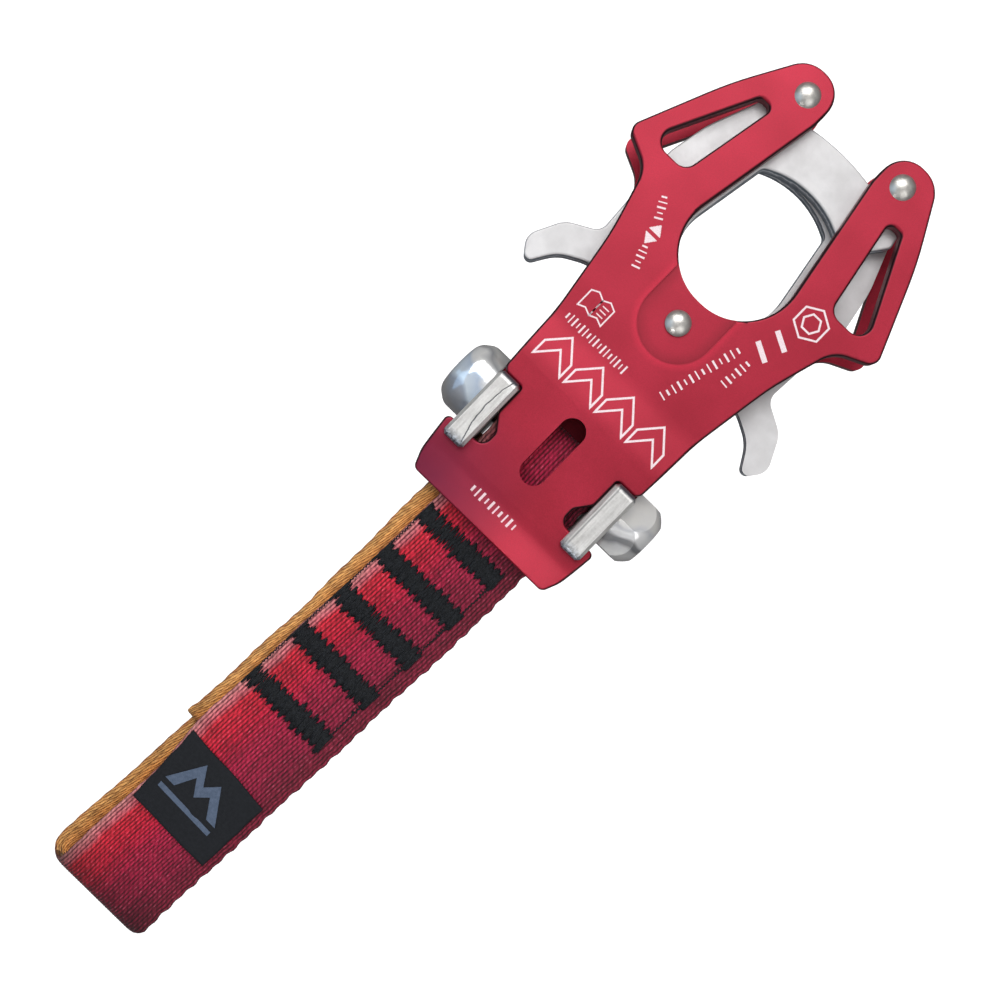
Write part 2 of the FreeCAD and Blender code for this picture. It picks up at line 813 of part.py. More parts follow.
NODES = [
    "front_plate", "back_plate", "left_gate", "right_gate", "pivot_rivet", "pivot_bushing", "gate_washers",
    "torsion_spring", "tip_rivets", "tip_spacers", "sling_bolt", "cap_nut", "left_ear", "right_ear",
    "sling_wrap", "front_strand", "back_strand", "overlap_strand", "bar_tacks", "side_stitching", "label",
]

for item in doc.Objects:
    if "Invalid" in item.State or "Error" in item.State:
        raise RuntimeError(f"{item.Label} is not built: {item.State}")

os.makedirs("parts", exist_ok=True)
for node in NODES:
    part = doc.getObjectsByLabel(node)[0]
    if part.Shape.isNull() or not part.Shape.isValid():
        raise RuntimeError(f"{node} has no valid shape")
for node in NODES:
    part = doc.getObjectsByLabel(node)[0]
    part.Shape.exportStep(f"parts/{node}.step")
    box = part.Shape.BoundBox
    size = f"{box.XLength:6.2f} x {box.YLength:6.2f} x {box.ZLength:6.2f}"
    print(f"{node:16s} solids {len(part.Shape.Solids):2d}  volume {part.Shape.Volume:9.2f}  size {size}")
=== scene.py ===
"""Looks of the twin-gate connector: plates, gates, hardware, woven sling, stitching and label."""
import json
import math
import random

import bpy
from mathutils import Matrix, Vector
from mathutils.bvhtree import BVHTree


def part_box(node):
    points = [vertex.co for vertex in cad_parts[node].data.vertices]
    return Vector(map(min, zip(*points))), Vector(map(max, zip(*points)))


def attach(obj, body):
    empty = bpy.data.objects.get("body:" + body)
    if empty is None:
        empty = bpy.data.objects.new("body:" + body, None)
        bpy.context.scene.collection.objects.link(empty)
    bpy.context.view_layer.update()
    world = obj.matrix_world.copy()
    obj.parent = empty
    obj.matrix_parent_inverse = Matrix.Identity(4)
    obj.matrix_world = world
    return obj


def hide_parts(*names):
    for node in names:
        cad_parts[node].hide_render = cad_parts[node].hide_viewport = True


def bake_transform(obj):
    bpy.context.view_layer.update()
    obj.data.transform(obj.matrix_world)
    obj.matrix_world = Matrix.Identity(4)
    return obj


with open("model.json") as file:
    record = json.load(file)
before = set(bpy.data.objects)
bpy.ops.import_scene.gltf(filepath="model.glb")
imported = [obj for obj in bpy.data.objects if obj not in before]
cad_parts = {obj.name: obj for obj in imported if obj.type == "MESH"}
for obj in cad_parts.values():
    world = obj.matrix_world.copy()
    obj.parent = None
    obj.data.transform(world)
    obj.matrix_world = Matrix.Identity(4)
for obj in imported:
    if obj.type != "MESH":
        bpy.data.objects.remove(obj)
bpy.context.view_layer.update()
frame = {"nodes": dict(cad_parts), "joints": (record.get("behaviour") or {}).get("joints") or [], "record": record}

MM = 0.001
TURN = 2 * math.pi
SEED = 7
rng = random.Random(SEED)
joints = {joint["name"]: joint for joint in frame["joints"]}
PIVOT = Vector(joints["left_gate_pivot"]["pos_m"])
PIVOT_Y = PIVOT.y / MM
PIVOT_Z = PIVOT.z / MM

# Places below are in millimetres from the gate pivot: x to the right, y to the mouth, z to the front.
PLATE_FRONT = 7.25
BOLT_Y = -37.5


def at(x, y, z):
    """A place given in millimetres from the gate pivot, in metres in the row frame."""
    return PIVOT + Vector((x, y, z)) * MM


def from_pivot(corner):
    """A row-frame corner in millimetres from the gate pivot."""
    return (Vector(corner) - PIVOT) / MM


def smooth(value):
    """A soft step from 0 to 1."""
    value = max(0.0, min(1.0, value))
    return value * value * (3 - 2 * value)


# -------- materials
def grey(level):
    """A colour with no hue."""
    return level, level, level


def set_stops(ramp, stops):
    """Gives a colour ramp its stops of (position, colour)."""
    while len(ramp.elements) < len(stops):
        ramp.elements.new(0.5)
    for element, (position, colour) in zip(ramp.elements, stops):
        element.position = position
        element.color = (*colour, 1)


class Shader:
    """A material whose nodes are added one line at a time."""

    def __init__(self, name, colour, roughness, metallic=0.0):
        self.material = bpy.data.materials.new(name)
        self.material.use_nodes = True
        self.tree = self.material.node_tree
        self.surface = self.tree.nodes["Principled BSDF"]
        self.put("Base Color", (*colour, 1))
        self.put("Roughness", roughness)
        self.put("Metallic", metallic)

    def put(self, socket_name, value):
        """Sets or links a socket of the surface itself."""
        self.feed(value, self.surface.inputs[socket_name])

    def node(self, kind, **settings):
        """A new node; each setting is one of its sockets if it has one of that name, or else a property."""
        made = self.tree.nodes.new(kind)
        for key, value in settings.items():
            if key in made.inputs:
                self.feed(value, made.inputs[key])
            else:
                setattr(made, key, value)
        return made

    def feed(self, value, socket):
        """Links a socket to the value, or sets a plain number or colour on it."""
        if isinstance(value, bpy.types.NodeSocket):
            self.tree.links.new(value, socket)
        else:
            socket.default_value = value

    def place(self, stretch=(1, 1, 1), output="Object"):
        """Coordinates in millimetres on the piece, or its UV map's own, stretched along their axes."""
        source = self.node("ShaderNodeTexCoord").outputs[output]
        scale = 1 / MM if output == "Object" else 1.0
        mapping = self.node("ShaderNodeMapping", Vector=source)
        mapping.inputs["Scale"].default_value = [scale * part for part in stretch]
        return mapping.outputs["Vector"]

    def noise(self, vector, scale, detail=3.0, roughness=0.5):
        made = self.node("ShaderNodeTexNoise", Vector=vector, Scale=scale, Detail=detail, Roughness=roughness)
        return made.outputs["Fac"]

    def tape_noise(self, across, along, detail=2.0, roughness=0.5):
        """Noise on a tape, with so many patches over its width and over one length of its texture."""
        return self.noise(self.place((across, along, 1), "UV"), 1.0, detail, roughness)

    def ramp(self, value, stops):
        """A colour for each value, from stops of (position, colour)."""
        made = self.node("ShaderNodeValToRGB", Fac=value)
        set_stops(made.color_ramp, stops)
        return made.outputs["Color"]

    def span(self, value, low, high, out_low=0.0, out_high=1.0):
        """The value carried from one range to another, and held at the ends of it."""
        made = self.node("ShaderNodeMapRange", Value=value)
        for key, number in zip(("From Min", "From Max", "To Min", "To Max"), (low, high, out_low, out_high)):
            made.inputs[key].default_value = number
        return made.outputs["Result"]

    def maths(self, operation, first, second=0.0):
        made = self.node("ShaderNodeMath", operation=operation)
        self.feed(first, made.inputs[0])
        self.feed(second, made.inputs[1])
        return made.outputs["Value"]

    def times(self, first, second):
        return self.maths("MULTIPLY", first, second)

    def plus(self, first, second):
        return self.maths("ADD", first, second)

    def minus(self, first, second):
        return self.maths("SUBTRACT", first, second)

    def mix(self, share, first, second, blend="MIX"):
        made = self.node("ShaderNodeMix", data_type="RGBA", blend_type=blend)
        self.feed(share, made.inputs["Factor"])
        self.feed((*first, 1) if isinstance(first, tuple) else first, made.inputs[6])
        self.feed((*second, 1) if isinstance(second, tuple) else second, made.inputs[7])
        return made.outputs[2]

    def split(self, vector):
        return self.node("ShaderNodeSeparateXYZ", Vector=vector).outputs

    def leaning(self, axis):
        """How squarely a face looks along an axis, from 0 to 1."""
        normal = self.node("ShaderNodeTexCoord").outputs["Normal"]
        return self.maths("ABSOLUTE", self.split(normal)[axis])

    def bump(self, height, depth_mm, strength=1.0):
        """Adds relief over any relief that is there already."""
        made = self.node("ShaderNodeBump", Height=height, Distance=depth_mm * MM, Strength=strength)
        if self.surface.inputs["Normal"].is_linked:
            before = self.surface.inputs["Normal"].links[0].from_socket
            self.feed(before, made.inputs["Normal"])
        self.put("Normal", made.outputs["Normal"])


# Where the painted shade and highlight of the coined ring lie, and where they fade out.
BOSS_REACH = (6.0, 12.0)
BOSS_FADE = (9.0, 13.0)
# Where the painted shade on the lower left of the foot lies.
FOOT_SHADE_Y = (-38.0, -58.0)
FOOT_SHADE_X = (6.0, -14.0)
# How far under the front face the painted shade of the edge walls starts to deepen and is darkest.
EDGE_SHADE = (1.3, 0.5)


def red_anodised():
    """Bead-blasted aluminium, dyed red, with fine grain; painted shade and highlight along the coined ring round
    the pivot, painted shade on the foot's lower left and on the edge walls.
    """
    s = Shader("red_anodised", (0.40, 0.020, 0.040), 0.40, 0.55)
    where = s.place()
    cloud = s.noise(where, 0.07, 2.0)
    grain = s.noise(where, 5.0, 3.0)
    dyed = s.ramp(cloud, [(0.3, (0.36, 0.010, 0.030)), (0.7, (0.44, 0.016, 0.042))])
    speck = s.ramp(grain, [(0.35, (0.78, 0.76, 0.78)), (0.68, grey(1.0))])
    face = s.mix(1.0, dyed, speck, "MULTIPLY")
    spot = s.split(where)
    under = s.maths("MINIMUM", s.minus(spot["Y"], PIVOT_Y), 0.0)
    reach = s.maths("SQRT", s.plus(s.maths("POWER", spot["X"], 2.0), s.maths("POWER", under, 2.0)))
    # Painted shade just inside the coined ring round the pivot and a painted highlight just outside it, fading out
    # toward the mouth.
    ring = s.ramp(s.span(reach, *BOSS_REACH),
                  [(0.0, grey(0.97)), (0.40, (0.74, 0.70, 0.72)), (0.49, grey(1.28)), (0.72, grey(1.0))])
    ring_shade_share = s.span(spot["Y"], PIVOT_Y + BOSS_FADE[0], PIVOT_Y + BOSS_FADE[1], 1.0, 0.0)
    face = s.mix(1.0, face, s.mix(ring_shade_share, grey(1.0), ring), "MULTIPLY")
    # Painted shade on the lower left of the foot, deepening the red toward purple.
    foot = s.span(spot["Y"], PIVOT_Y + FOOT_SHADE_Y[0], PIVOT_Y + FOOT_SHADE_Y[1])
    left = s.span(spot["X"], *FOOT_SHADE_X)
    face = s.mix(s.times(s.times(foot, left), 0.85), face, (0.17, 0.010, 0.042))
    side = s.span(s.leaning("X"), 0.12, 0.45, 1.0, 0.0)
    flat = s.times(s.span(s.leaning("Z"), 0.12, 0.5), side)
    # Painted shade on the edge walls, darkest next to the front face.
    skin = s.maths("ABSOLUTE", s.minus(spot["Z"], PIVOT_Z))
    edge_shade_share = s.span(skin, PLATE_FRONT - EDGE_SHADE[0], PLATE_FRONT - EDGE_SHADE[1])
    wall = s.mix(edge_shade_share, (0.16, 0.008, 0.020), (0.030, 0.002, 0.006))
    s.put("Base Color", s.mix(flat, wall, face))
    s.put("Roughness", s.span(grain, 0.3, 0.7, 0.34, 0.50))
    s.bump(grain, 0.014, 0.5)
    return s.material


GATE_PITCH = 4.0
GATE_TORN = 3.6


def gate_steel():
    """Tumbled stainless plate; its sheared edge has a burnished band and a torn band, painted dark as shade with a
    bright painted highlight line.
    """
    s = Shader("gate_steel", (0.56, 0.55, 0.55), 0.45, 0.35)
    where = s.place()
    cloud = s.noise(where, 0.16, 4.0)
    tumble = s.noise(where, 2.6, 4.0, 0.65)
    face = s.ramp(cloud, [(0.3, (0.53, 0.52, 0.52)), (0.72, (0.68, 0.67, 0.67))])
    level = s.split(where)["Z"]
    depth = s.maths("PINGPONG", s.minus(level, PIVOT_Z + 0.2 - GATE_PITCH), GATE_PITCH)
    torn = s.plus(s.span(depth, 0.0, GATE_TORN), s.span(s.noise(where, 0.7, 3.0), 0.3, 0.7, -0.12, 0.12))
    # Painted shade of dark blue-grey over the burnished and torn bands of the sheared edge, with a bright painted
    # highlight line on the burnish.
    edge = s.ramp(torn, [(0.0, (0.13, 0.16, 0.19)), (0.42, (0.20, 0.25, 0.30)), (0.58, (0.85, 0.87, 0.90)),
                         (0.68, (0.30, 0.34, 0.39)), (1.0, (0.14, 0.17, 0.20))])
    wall = s.span(s.leaning("Z"), 0.2, 0.8)
    s.put("Base Color", s.mix(wall, edge, face))
    s.put("Roughness", s.span(tumble, 0.3, 0.7, 0.40, 0.58))
    s.bump(tumble, 0.01, 0.45)
    return s.material


def rivet_steel():
    """Set rivets: satin domes, with painted shade toward the rim."""
    s = Shader("rivet_steel", (0.62, 0.60, 0.56), 0.34, 0.85)
    where = s.place()
    marks = s.noise(where, 1.1, 3.0)
    metal = s.ramp(marks, [(0.3, (0.50, 0.48, 0.45)), (0.7, (0.68, 0.66, 0.61))])
    # Painted shade on the rim, where the dome turns side-on.
    s.put("Base Color", s.mix(s.span(s.leaning("Z"), 0.45, 0.95), (0.36, 0.36, 0.35), metal))
    s.put("Roughness", s.span(s.noise(where, 2.0), 0.3, 0.7, 0.28, 0.40))
    s.bump(marks, 0.03, 0.35)
    return s.material


BOLT_END_X = 22.0
# The slant of the painted reflection bands on the bolt and nut, and how far they reach each way.
REFLECTION_SLANT = -0.40
REFLECTION_BAND = 8.0
SHANK_REACH = (18.0, 18.8)


def bolt_steel():
    """Plated bolt and cap nut with painted reflections: light and dark bands, cool on the head, warm on the nut,
    plain grey on the flanks; the shank is painted dark as shade.
    """
    s = Shader("bolt_steel", (0.78, 0.79, 0.80), 0.14, 0.55)
    where = s.place()
    spot = s.split(where)
    wave = s.noise(where, 0.35, 3.0)
    warp = s.span(s.noise(where, 0.22, 0.0), 0.3, 0.7, -1.0, 1.0)
    lean = s.times(s.minus(s.maths("ABSOLUTE", spot["X"]), BOLT_END_X), REFLECTION_SLANT)
    height = s.plus(s.minus(spot["Y"], PIVOT_Y + BOLT_Y), s.plus(warp, lean))
    # Painted reflections: bands of light and dark, cool on the head and warm on the nut, slanted and warped a
    # little; the flanks stay plain grey.
    cool = s.ramp(s.span(height, -REFLECTION_BAND, REFLECTION_BAND),
                  [(0.08, (0.30, 0.31, 0.33)), (0.20, (0.30, 0.38, 0.50)), (0.28, (0.74, 0.88, 1.0)),
                   (0.52, (0.46, 0.60, 0.80)), (0.60, (0.86, 0.88, 0.90)), (0.72, (0.98, 0.98, 0.96)),
                   (0.80, (0.28, 0.29, 0.30)), (0.88, (0.62, 0.62, 0.58)), (1.0, (0.44, 0.44, 0.42))])
    warm = s.ramp(s.span(height, -REFLECTION_BAND, REFLECTION_BAND),
                  [(0.06, (0.88, 0.88, 0.86)), (0.13, (0.62, 0.62, 0.61)), (0.18, (0.06, 0.06, 0.07)),
                   (0.25, (0.10, 0.10, 0.11)), (0.31, (0.97, 0.97, 0.98)), (0.40, grey(1.0)),
                   (0.46, (0.74, 0.75, 0.78)), (0.54, (0.94, 0.92, 0.88)), (1.0, (0.86, 0.83, 0.79))])
    painted_reflection = s.mix(s.maths("LESS_THAN", spot["X"], 0.0), warm, cool)
    metal = s.mix(0.3, painted_reflection, s.ramp(wave, [(0.35, (0.72, 0.74, 0.77)), (0.7, (0.90, 0.88, 0.85))]))
    reflection_and_flanks = s.mix(s.span(s.leaning("Z"), 0.0, 0.6), grey(0.60), metal)
    # Painted shade: the shank, deep in its notch, is coloured dark brown.
    reach = s.maths("ABSOLUTE", spot["X"])
    s.put("Base Color", s.mix(s.span(reach, *SHANK_REACH), (0.06, 0.035, 0.018), reflection_and_flanks))
    s.put("Roughness", s.span(s.noise(where, 1.5), 0.3, 0.7, 0.10, 0.22))
    s.bump(wave, 0.10, 0.4)
    return s.material


EAR_Y = -40.0
EAR_HALF = 7.0
EAR_FOOT = (-50.4, -48.0)
SHEAR_X = -16.5
SHEAR_BOW = 0.9
GROOVE_X = 15.2


def ear_steel():
    """Stamped ears: satin band; a bowed shear line on the left and a straight groove on the right, painted dark as
    shade over their relief; painted shade on the end faces and, speckled, on the lower ends.
    """
    s = Shader("ear_steel", (0.60, 0.59, 0.57), 0.36, 0.6)
    where = s.place()
    spot = s.split(where)
    drag = s.noise(s.place((2.4, 0.20, 1.0)), 1.0, 4.0)
    pits = s.noise(where, 2.2, 4.0)
    height = s.maths("DIVIDE", s.minus(spot["Y"], PIVOT_Y + EAR_Y), EAR_HALF)
    bow = s.times(s.maths("POWER", s.maths("ABSOLUTE", height), 2.0), SHEAR_BOW)
    wander = s.span(s.noise(where, 0.5, 2.0), 0.3, 0.7, -0.12, 0.12)
    curved = s.minus(s.plus(spot["X"], -SHEAR_X), s.plus(bow, wander))
    straight = s.minus(spot["X"], GROOVE_X)
    left = s.maths("LESS_THAN", spot["X"], 0.0)
    curved_line = s.span(s.maths("ABSOLUTE", curved), 0.05, 0.20)
    straight_line = s.span(s.maths("ABSOLUTE", straight), 0.02, 0.30, 0.45, 1.0)
    line = s.node("ShaderNodeMix", data_type="FLOAT")
    s.feed(left, line.inputs[0])
    s.feed(straight_line, line.inputs[2])
    s.feed(curved_line, line.inputs[3])
    seam = line.outputs[0]
    metal = s.ramp(s.plus(s.times(drag, 0.6), s.times(pits, 0.4)),
                   [(0.3, (0.54, 0.53, 0.51)), (0.65, (0.74, 0.73, 0.71))])
    # Painted shade: the shear line and the groove are coloured dark over the relief that their bump gives.
    marked = s.mix(seam, (0.05, 0.05, 0.06), metal)
    # Painted shade, speckled blue-grey, on the lower ends; clean below is the share left without it.
    end_shade_speckle = s.ramp(pits, [(0.4, (0.05, 0.06, 0.08)), (0.6, (0.42, 0.46, 0.52))])
    foot = s.span(spot["Y"], PIVOT_Y + EAR_FOOT[0], PIVOT_Y + EAR_FOOT[1])
    clean = s.maths("MAXIMUM", foot, s.span(s.leaning("Z"), 0.10, 0.45, 1.0, 0.0))
    # Painted shade on the faces that look up or down the sling.
    level = s.span(s.leaning("Y"), 0.25, 0.6, 1.0, 0.0)
    s.put("Base Color", s.mix(clean, end_shade_speckle, s.mix(level, (0.10, 0.10, 0.12), marked)))
    s.put("Roughness", s.span(drag, 0.3, 0.7, 0.28, 0.46))
    s.bump(drag, 0.03, 0.4)
    s.bump(seam, 0.08, 0.5)
    return s.material


def spring_steel():
    """Drawn spring wire."""
    s = Shader("spring_steel", (0.42, 0.42, 0.43), 0.28, 1.0)
    drawn = s.noise(s.place(), 5.0, 2.0)
    s.put("Base Color", s.ramp(drawn, [(0.3, (0.30, 0.30, 0.31)), (0.7, (0.50, 0.50, 0.51))]))
    s.bump(drawn, 0.01, 0.4)
    return s.material


RIBS = 34


def webbing(name, across, gap, gleam, floats=17.5, slant=0.35, ribbed=1.0, dash=0.45):
    """Woven tape: one rib per warp bundle, each a chain of short slanting floats.

    across holds its colours from edge to edge, gap the colour of the painted shade between ribs and floats, and
    gleam that of the painted highlight on raised floats.
    ribbed is how dark the painted shade in the grooves is, and dash how light the painted gaps between floats
    stay.
    """
    s = Shader(name, across[0][1], 0.78)
    uv = s.split(s.place(output="UV"))
    ribs = s.times(uv["X"], RIBS)
    number = s.maths("FLOOR", ribs)
    local = s.maths("FRACT", ribs)
    stagger = s.times(s.maths("MODULO", number, 2.0), 0.42)
    drift = s.span(s.tape_noise(16, 1.6), 0.3, 0.7, -0.35, 0.35)
    along = s.plus(s.times(uv["Y"], floats), s.plus(stagger, drift))
    slanted = s.plus(along, s.times(local, slant))
    float_shape = s.span(s.maths("PINGPONG", slanted, 0.5), 0.02, 0.30)
    rib_shape = s.span(s.maths("PINGPONG", local, 0.5), 0.05, 0.42)
    fuzz = s.tape_noise(80, 40, 4.0, 0.65)
    bridged = s.span(s.tape_noise(30, 9), 0.46, 0.66, 0.0, 0.62)
    cords = s.span(s.maths("MAXIMUM", rib_shape, bridged), 0.0, 1.0, 1.0 - ribbed, 1.0)
    weave = s.times(cords, s.span(float_shape, 0.0, 1.0, dash, 1.0))
    lit = s.times(weave, s.span(fuzz, 0.3, 0.75, 0.65, 1.05))
    blot = s.tape_noise(3.2, 5.0, 3.0)
    shifted = s.plus(uv["X"], s.span(blot, 0.3, 0.7, -0.018, 0.018))
    base = s.ramp(shifted, across)
    # Painted shade in the grooves between ribs and the gaps between floats, with a painted highlight on the raised
    # floats; dyed below is the yarn colour under this painted light and shade.
    shade = s.ramp(lit, [(0.0, gap), (0.42, (0.72, 0.70, 0.72)), (1.0, grey(1.16))])
    dyed = s.mix(1.0, base, shade, "MULTIPLY")
    bands = s.span(s.tape_noise(0.8, 9.0), 0.32, 0.68, 0.74, 1.12)
    # Painted light and shade in streaks along the tape, for the puckers between the bar tacks.
    pucker_light_and_shade = s.span(s.tape_noise(26, 1.4), 0.30, 0.70, 0.62, 1.20)
    # Painted shade, deepening toward the loop's turned lower end.
    fold_shade = s.span(uv["Y"], 0.10, 0.52, 0.36, 1.0)
    level = s.times(s.times(bands, pucker_light_and_shade), fold_shade)
    banded = s.mix(1.0, dyed, s.ramp(level, [(0.0, grey(0.0)), (1.0, grey(1.0))]), "MULTIPLY")
    # Painted glints on the raised floats, in the gleam colour.
    raised = s.span(lit, 0.62, 1.0)
    painted_glints = s.times(raised, s.span(s.tape_noise(46, 20, 3.0), 0.5, 0.72))
    s.put("Base Color", s.mix(s.times(painted_glints, 0.55), banded, gleam))
    s.put("Sheen Weight", 0.12)
    s.put("Sheen Roughness", 0.4)
    s.put("Specular IOR Level", 0.3)
    s.bump(rib_shape, 0.16, 0.9)
    s.bump(float_shape, 0.10, 0.8)
    s.bump(fuzz, 0.04, 0.6)
    return s.material


def webbing_face():
    """Red face of the tape, pale pink at one edge and deepening to crimson at the other: painted light along that
    edge and painted shade toward the other.
    """
    return webbing(
        "webbing_face",
        # Over the red of the yarn, painted light pales the first edge to pink and painted shade deepens the far
        # edge to crimson.
        [(0.01, (0.84, 0.34, 0.32)), (0.085, (0.90, 0.19, 0.23)), (0.13, (0.84, 0.024, 0.052)),
         (0.30, (0.74, 0.012, 0.050)), (0.48, (0.54, 0.012, 0.066)), (0.80, (0.35, 0.012, 0.054)),
         (0.90, (0.26, 0.012, 0.040)), (1.0, (0.29, 0.014, 0.044))],
        (0.16, 0.10, 0.14), (0.86, 0.26, 0.36))


def webbing_back():
    """Gold inner side of the tape, with brown painted shade in the gaps between its slanting floats."""
    return webbing(
        "webbing_back",
        [(0.0, (0.58, 0.23, 0.07)), (0.03, (1.0, 0.52, 0.16)), (0.10, (0.98, 0.42, 0.11)),
         (0.14, (0.74, 0.27, 0.065)), (0.5, (0.94, 0.40, 0.10)), (1.0, (0.72, 0.28, 0.07))],
        # The gap colour is brown painted shade; the gleam colour is a pale gold painted highlight.
        (0.26, 0.14, 0.08), (1.0, 0.72, 0.38), 12.0, 1.2, 0.45, 0.14)


def thread_black():
    """Twisted black sewing thread."""
    s = Shader("thread_black", (0.008, 0.009, 0.011), 0.66)
    twist = s.noise(s.place((1, 0.6, 1)), 5.0, 3.0)
    s.put("Base Color", s.ramp(twist, [(0.40, (0.001, 0.0015, 0.002)), (0.72, (0.017, 0.020, 0.025))]))
    s.put("Specular IOR Level", 0.22)
    s.bump(twist, 0.08, 0.8)
    return s.material


def cloth(name, dark, light, threads=4.2):
    """Fine plain-woven or embroidered cloth."""
    s = Shader(name, dark, 0.85)
    spot = s.split(s.place())
    warp = s.maths("PINGPONG", s.times(spot["X"], threads), 0.5)
    weft = s.maths("PINGPONG", s.times(spot["Y"], threads), 0.5)
    weave = s.plus(warp, weft)
    mottle = s.noise(s.place(), 1.6, 4.0)
    s.put("Base Color", s.ramp(s.plus(s.times(weave, 0.5), s.times(mottle, 0.5)),
                    [(0.25, dark), (0.75, light)]))
    s.put("Specular IOR Level", 0.22)
    s.bump(weave, 0.06, 0.7)
    s.bump(mottle, 0.04, 0.4)
    return s.material


def etched():
    """Laser-marked lines that bare the pale metal under the dye."""
    s = Shader("etched_mark", (0.86, 0.74, 0.76), 0.6, 0.2)
    grain = s.noise(s.place(), 7.0, 2.0)
    s.put("Base Color", s.ramp(grain, [(0.3, (0.72, 0.52, 0.56)), (0.65, (0.92, 0.82, 0.84))]))
    s.bump(grain, 0.01, 0.5)
    return s.material


def floor_paper():
    """Pale seamless paper, lit a little from within so that it stays plain."""
    s = Shader("pale_floor", grey(0.62), 0.9)
    fibre = s.noise(s.place(), 0.5, 4.0)
    s.put("Base Color", s.ramp(fibre, [(0.3, grey(0.61)), (0.7, grey(0.63))]))
    s.put("Emission Color", (1, 1, 1, 1))
    s.put("Emission Strength", 0.66)
    return s.material


FINISHES = {
    "red_anodised": red_anodised(),
    "gate_steel": gate_steel(),
    "rivet_steel": rivet_steel(),
    "bolt_steel": bolt_steel(),
    "ear_steel": ear_steel(),
    "spring_steel": spring_steel(),
}
FACE = webbing_face()
BACK = webbing_back()
THREAD = thread_black()
LABEL = cloth("label_cloth", (0.006, 0.007, 0.009), (0.016, 0.018, 0.022))
EMBROIDERY = cloth("label_embroidery", (0.055, 0.080, 0.125), (0.13, 0.17, 0.25), 6.0)
ETCHED = etched()


def dress_cad_nodes():
    """Gives each CAD node that stays the finish of its material slot."""
    slots = {entry["node"]: entry["material_slot"] for entry in frame["record"]["subparts"]}
    for name, node in frame["nodes"].items():
        if slots[name] in FINISHES:
            for place in node.material_slots:
                place.material = FINISHES[slots[name]]


# -------- mesh pieces
def add_object(name, data):
    """A new object in the scene."""
    made = bpy.data.objects.new(name, data)
    bpy.context.scene.collection.objects.link(made)
    return made


def new_piece(name, vertices, faces, materials, indices=None, shade=True):
    """A mesh object; indices name the material of each face, and shade says if it is shaded smooth."""
    mesh = bpy.data.meshes.new(name)
    mesh.from_pydata([tuple(v) for v in vertices], [], faces)
    for material in materials:
        mesh.materials.append(material)
    if indices is not None:
        mesh.polygons.foreach_set("material_index", indices)
    mesh.polygons.foreach_set("use_smooth", [shade] * len(mesh.polygons))
    mesh.update()
    piece = add_object(name, mesh)
    return piece


PATH_STEP = 0.8
PATH_MERGE = 0.05


def corner_arc(before, here, after, radius):
    """Points on the arc of the given radius that rounds a corner."""
    back = (before - here).normalized()
    ahead = (after - here).normalized()
    half = back.angle(ahead) / 2
    reach = radius / math.tan(half)
    turn = math.pi - 2 * half
    centre = here + (back + ahead).normalized() * radius / math.sin(half)
    start = here + back * reach - centre
    sense = 1 if back.x * ahead.y - back.y * ahead.x < 0 else -1
    pieces = max(2, round(radius * turn / PATH_STEP))
    arc = []
    for part in range(pieces + 1):
        angle = sense * turn * part / pieces
        cosine, sine = math.cos(angle), math.sin(angle)
        arc.append(centre + Vector((start.x * cosine - start.y * sine, start.x * sine + start.y * cosine)))
    return arc


def sampled(corners, closed):
    """Points along lines and tangent arcs. Each corner is (y, z, radius)."""
    count = len(corners)
    places = [Vector(corner[:2]) for corner in corners]
    arcs = []
    for index, corner in enumerate(corners):
        if not closed and index in (0, count - 1):
            arcs.append([places[index]])
        else:
            arcs.append(corner_arc(places[index - 1], places[index], places[(index + 1) % count], corner[2]))
    path = []
    for index, arc in enumerate(arcs):
        path += arc
        if closed or index < count - 1:
            target = arcs[(index + 1) % count][0]
            gap = (target - arc[-1]).length
            for part in range(1, int(gap / PATH_STEP)):
                path.append(arc[-1].lerp(target, part * PATH_STEP / gap))
    clean = [path[0]]
    for point in path[1:]:
        if (point - clean[-1]).length > PATH_MERGE:
            clean.append(point)
    if closed and (clean[0] - clean[-1]).length < PATH_MERGE:
        clean.pop()
    return clean


# The sling, from the bolt down: its neck, the sewn stretch, and the open end with its turn.
WEB_HALF = 12.7
WEB_DEEP = 0.84
LAYER = 1.66
BOLT_WRAP = 4.97
BOLT_SPREAD = 0.7
BOLT_SHIFT = 0.3
BOLT_TURN_Y = -44
NECK_Y = -44.5
SEWN_Y = (-57.0, -121.0)
OPEN_HALF = 4.0
OPEN_Y = -129.0
END_TURN_Y = -166
END_TUCK = 0.55
TAIL_TOP = -44.8
TAIL_END = (-131.8, -2.0)
TACK_ROWS = (-65.4, -77.5, -89.8, -102.0, -115.3)
TACK_WIDE = 21.9
TOOTH_PITCH = 1.8

# The tape's relief and the two wave lengths of its edges; one length of texture is 25 mm.
RIB_COLUMNS = 3
TAPE_COLUMNS = RIBS * RIB_COLUMNS
GROOVE_DEEP = 0.07
PRESS_DEEP = 0.22
PUCKER_DEEP = 0.09
EDGE_WAVES = (3.7, 6.1)
TEXTURE_LENGTH = 25


def below(start, y):
    """How far a height lies below a starting height, never negative."""
    return max(0.0, start - y)


def front_middle(y):
    """Middle of the front strand: straight at first, then leaning left, drawn in beside the label."""
    return 1.55 - 0.051 * below(-70.0, y) + 0.65 * smooth((-128.0 - y) / 15.0)


def back_middle(y):
    """Middle of the back strand: it leans left all the way, and more below the sewn stretch."""
    return -1.1 - 0.028 * below(-62.0, y) - 0.047 * below(-130.0, y)


def tail_middle(y):
    """Middle of the overlap layer, which shows at the left of the front strand."""
    return -2.0 + 0.8 * smooth((y - SEWN_Y[0]) / 5.0) - 0.014 * below(-62.0, y) - 0.042 * below(-96.0, y)


def front_half_width(y):
    """Half the width of the front strand, which narrows below the label."""
    return WEB_HALF - 0.95 * smooth((-124.0 - y) / 22.0)


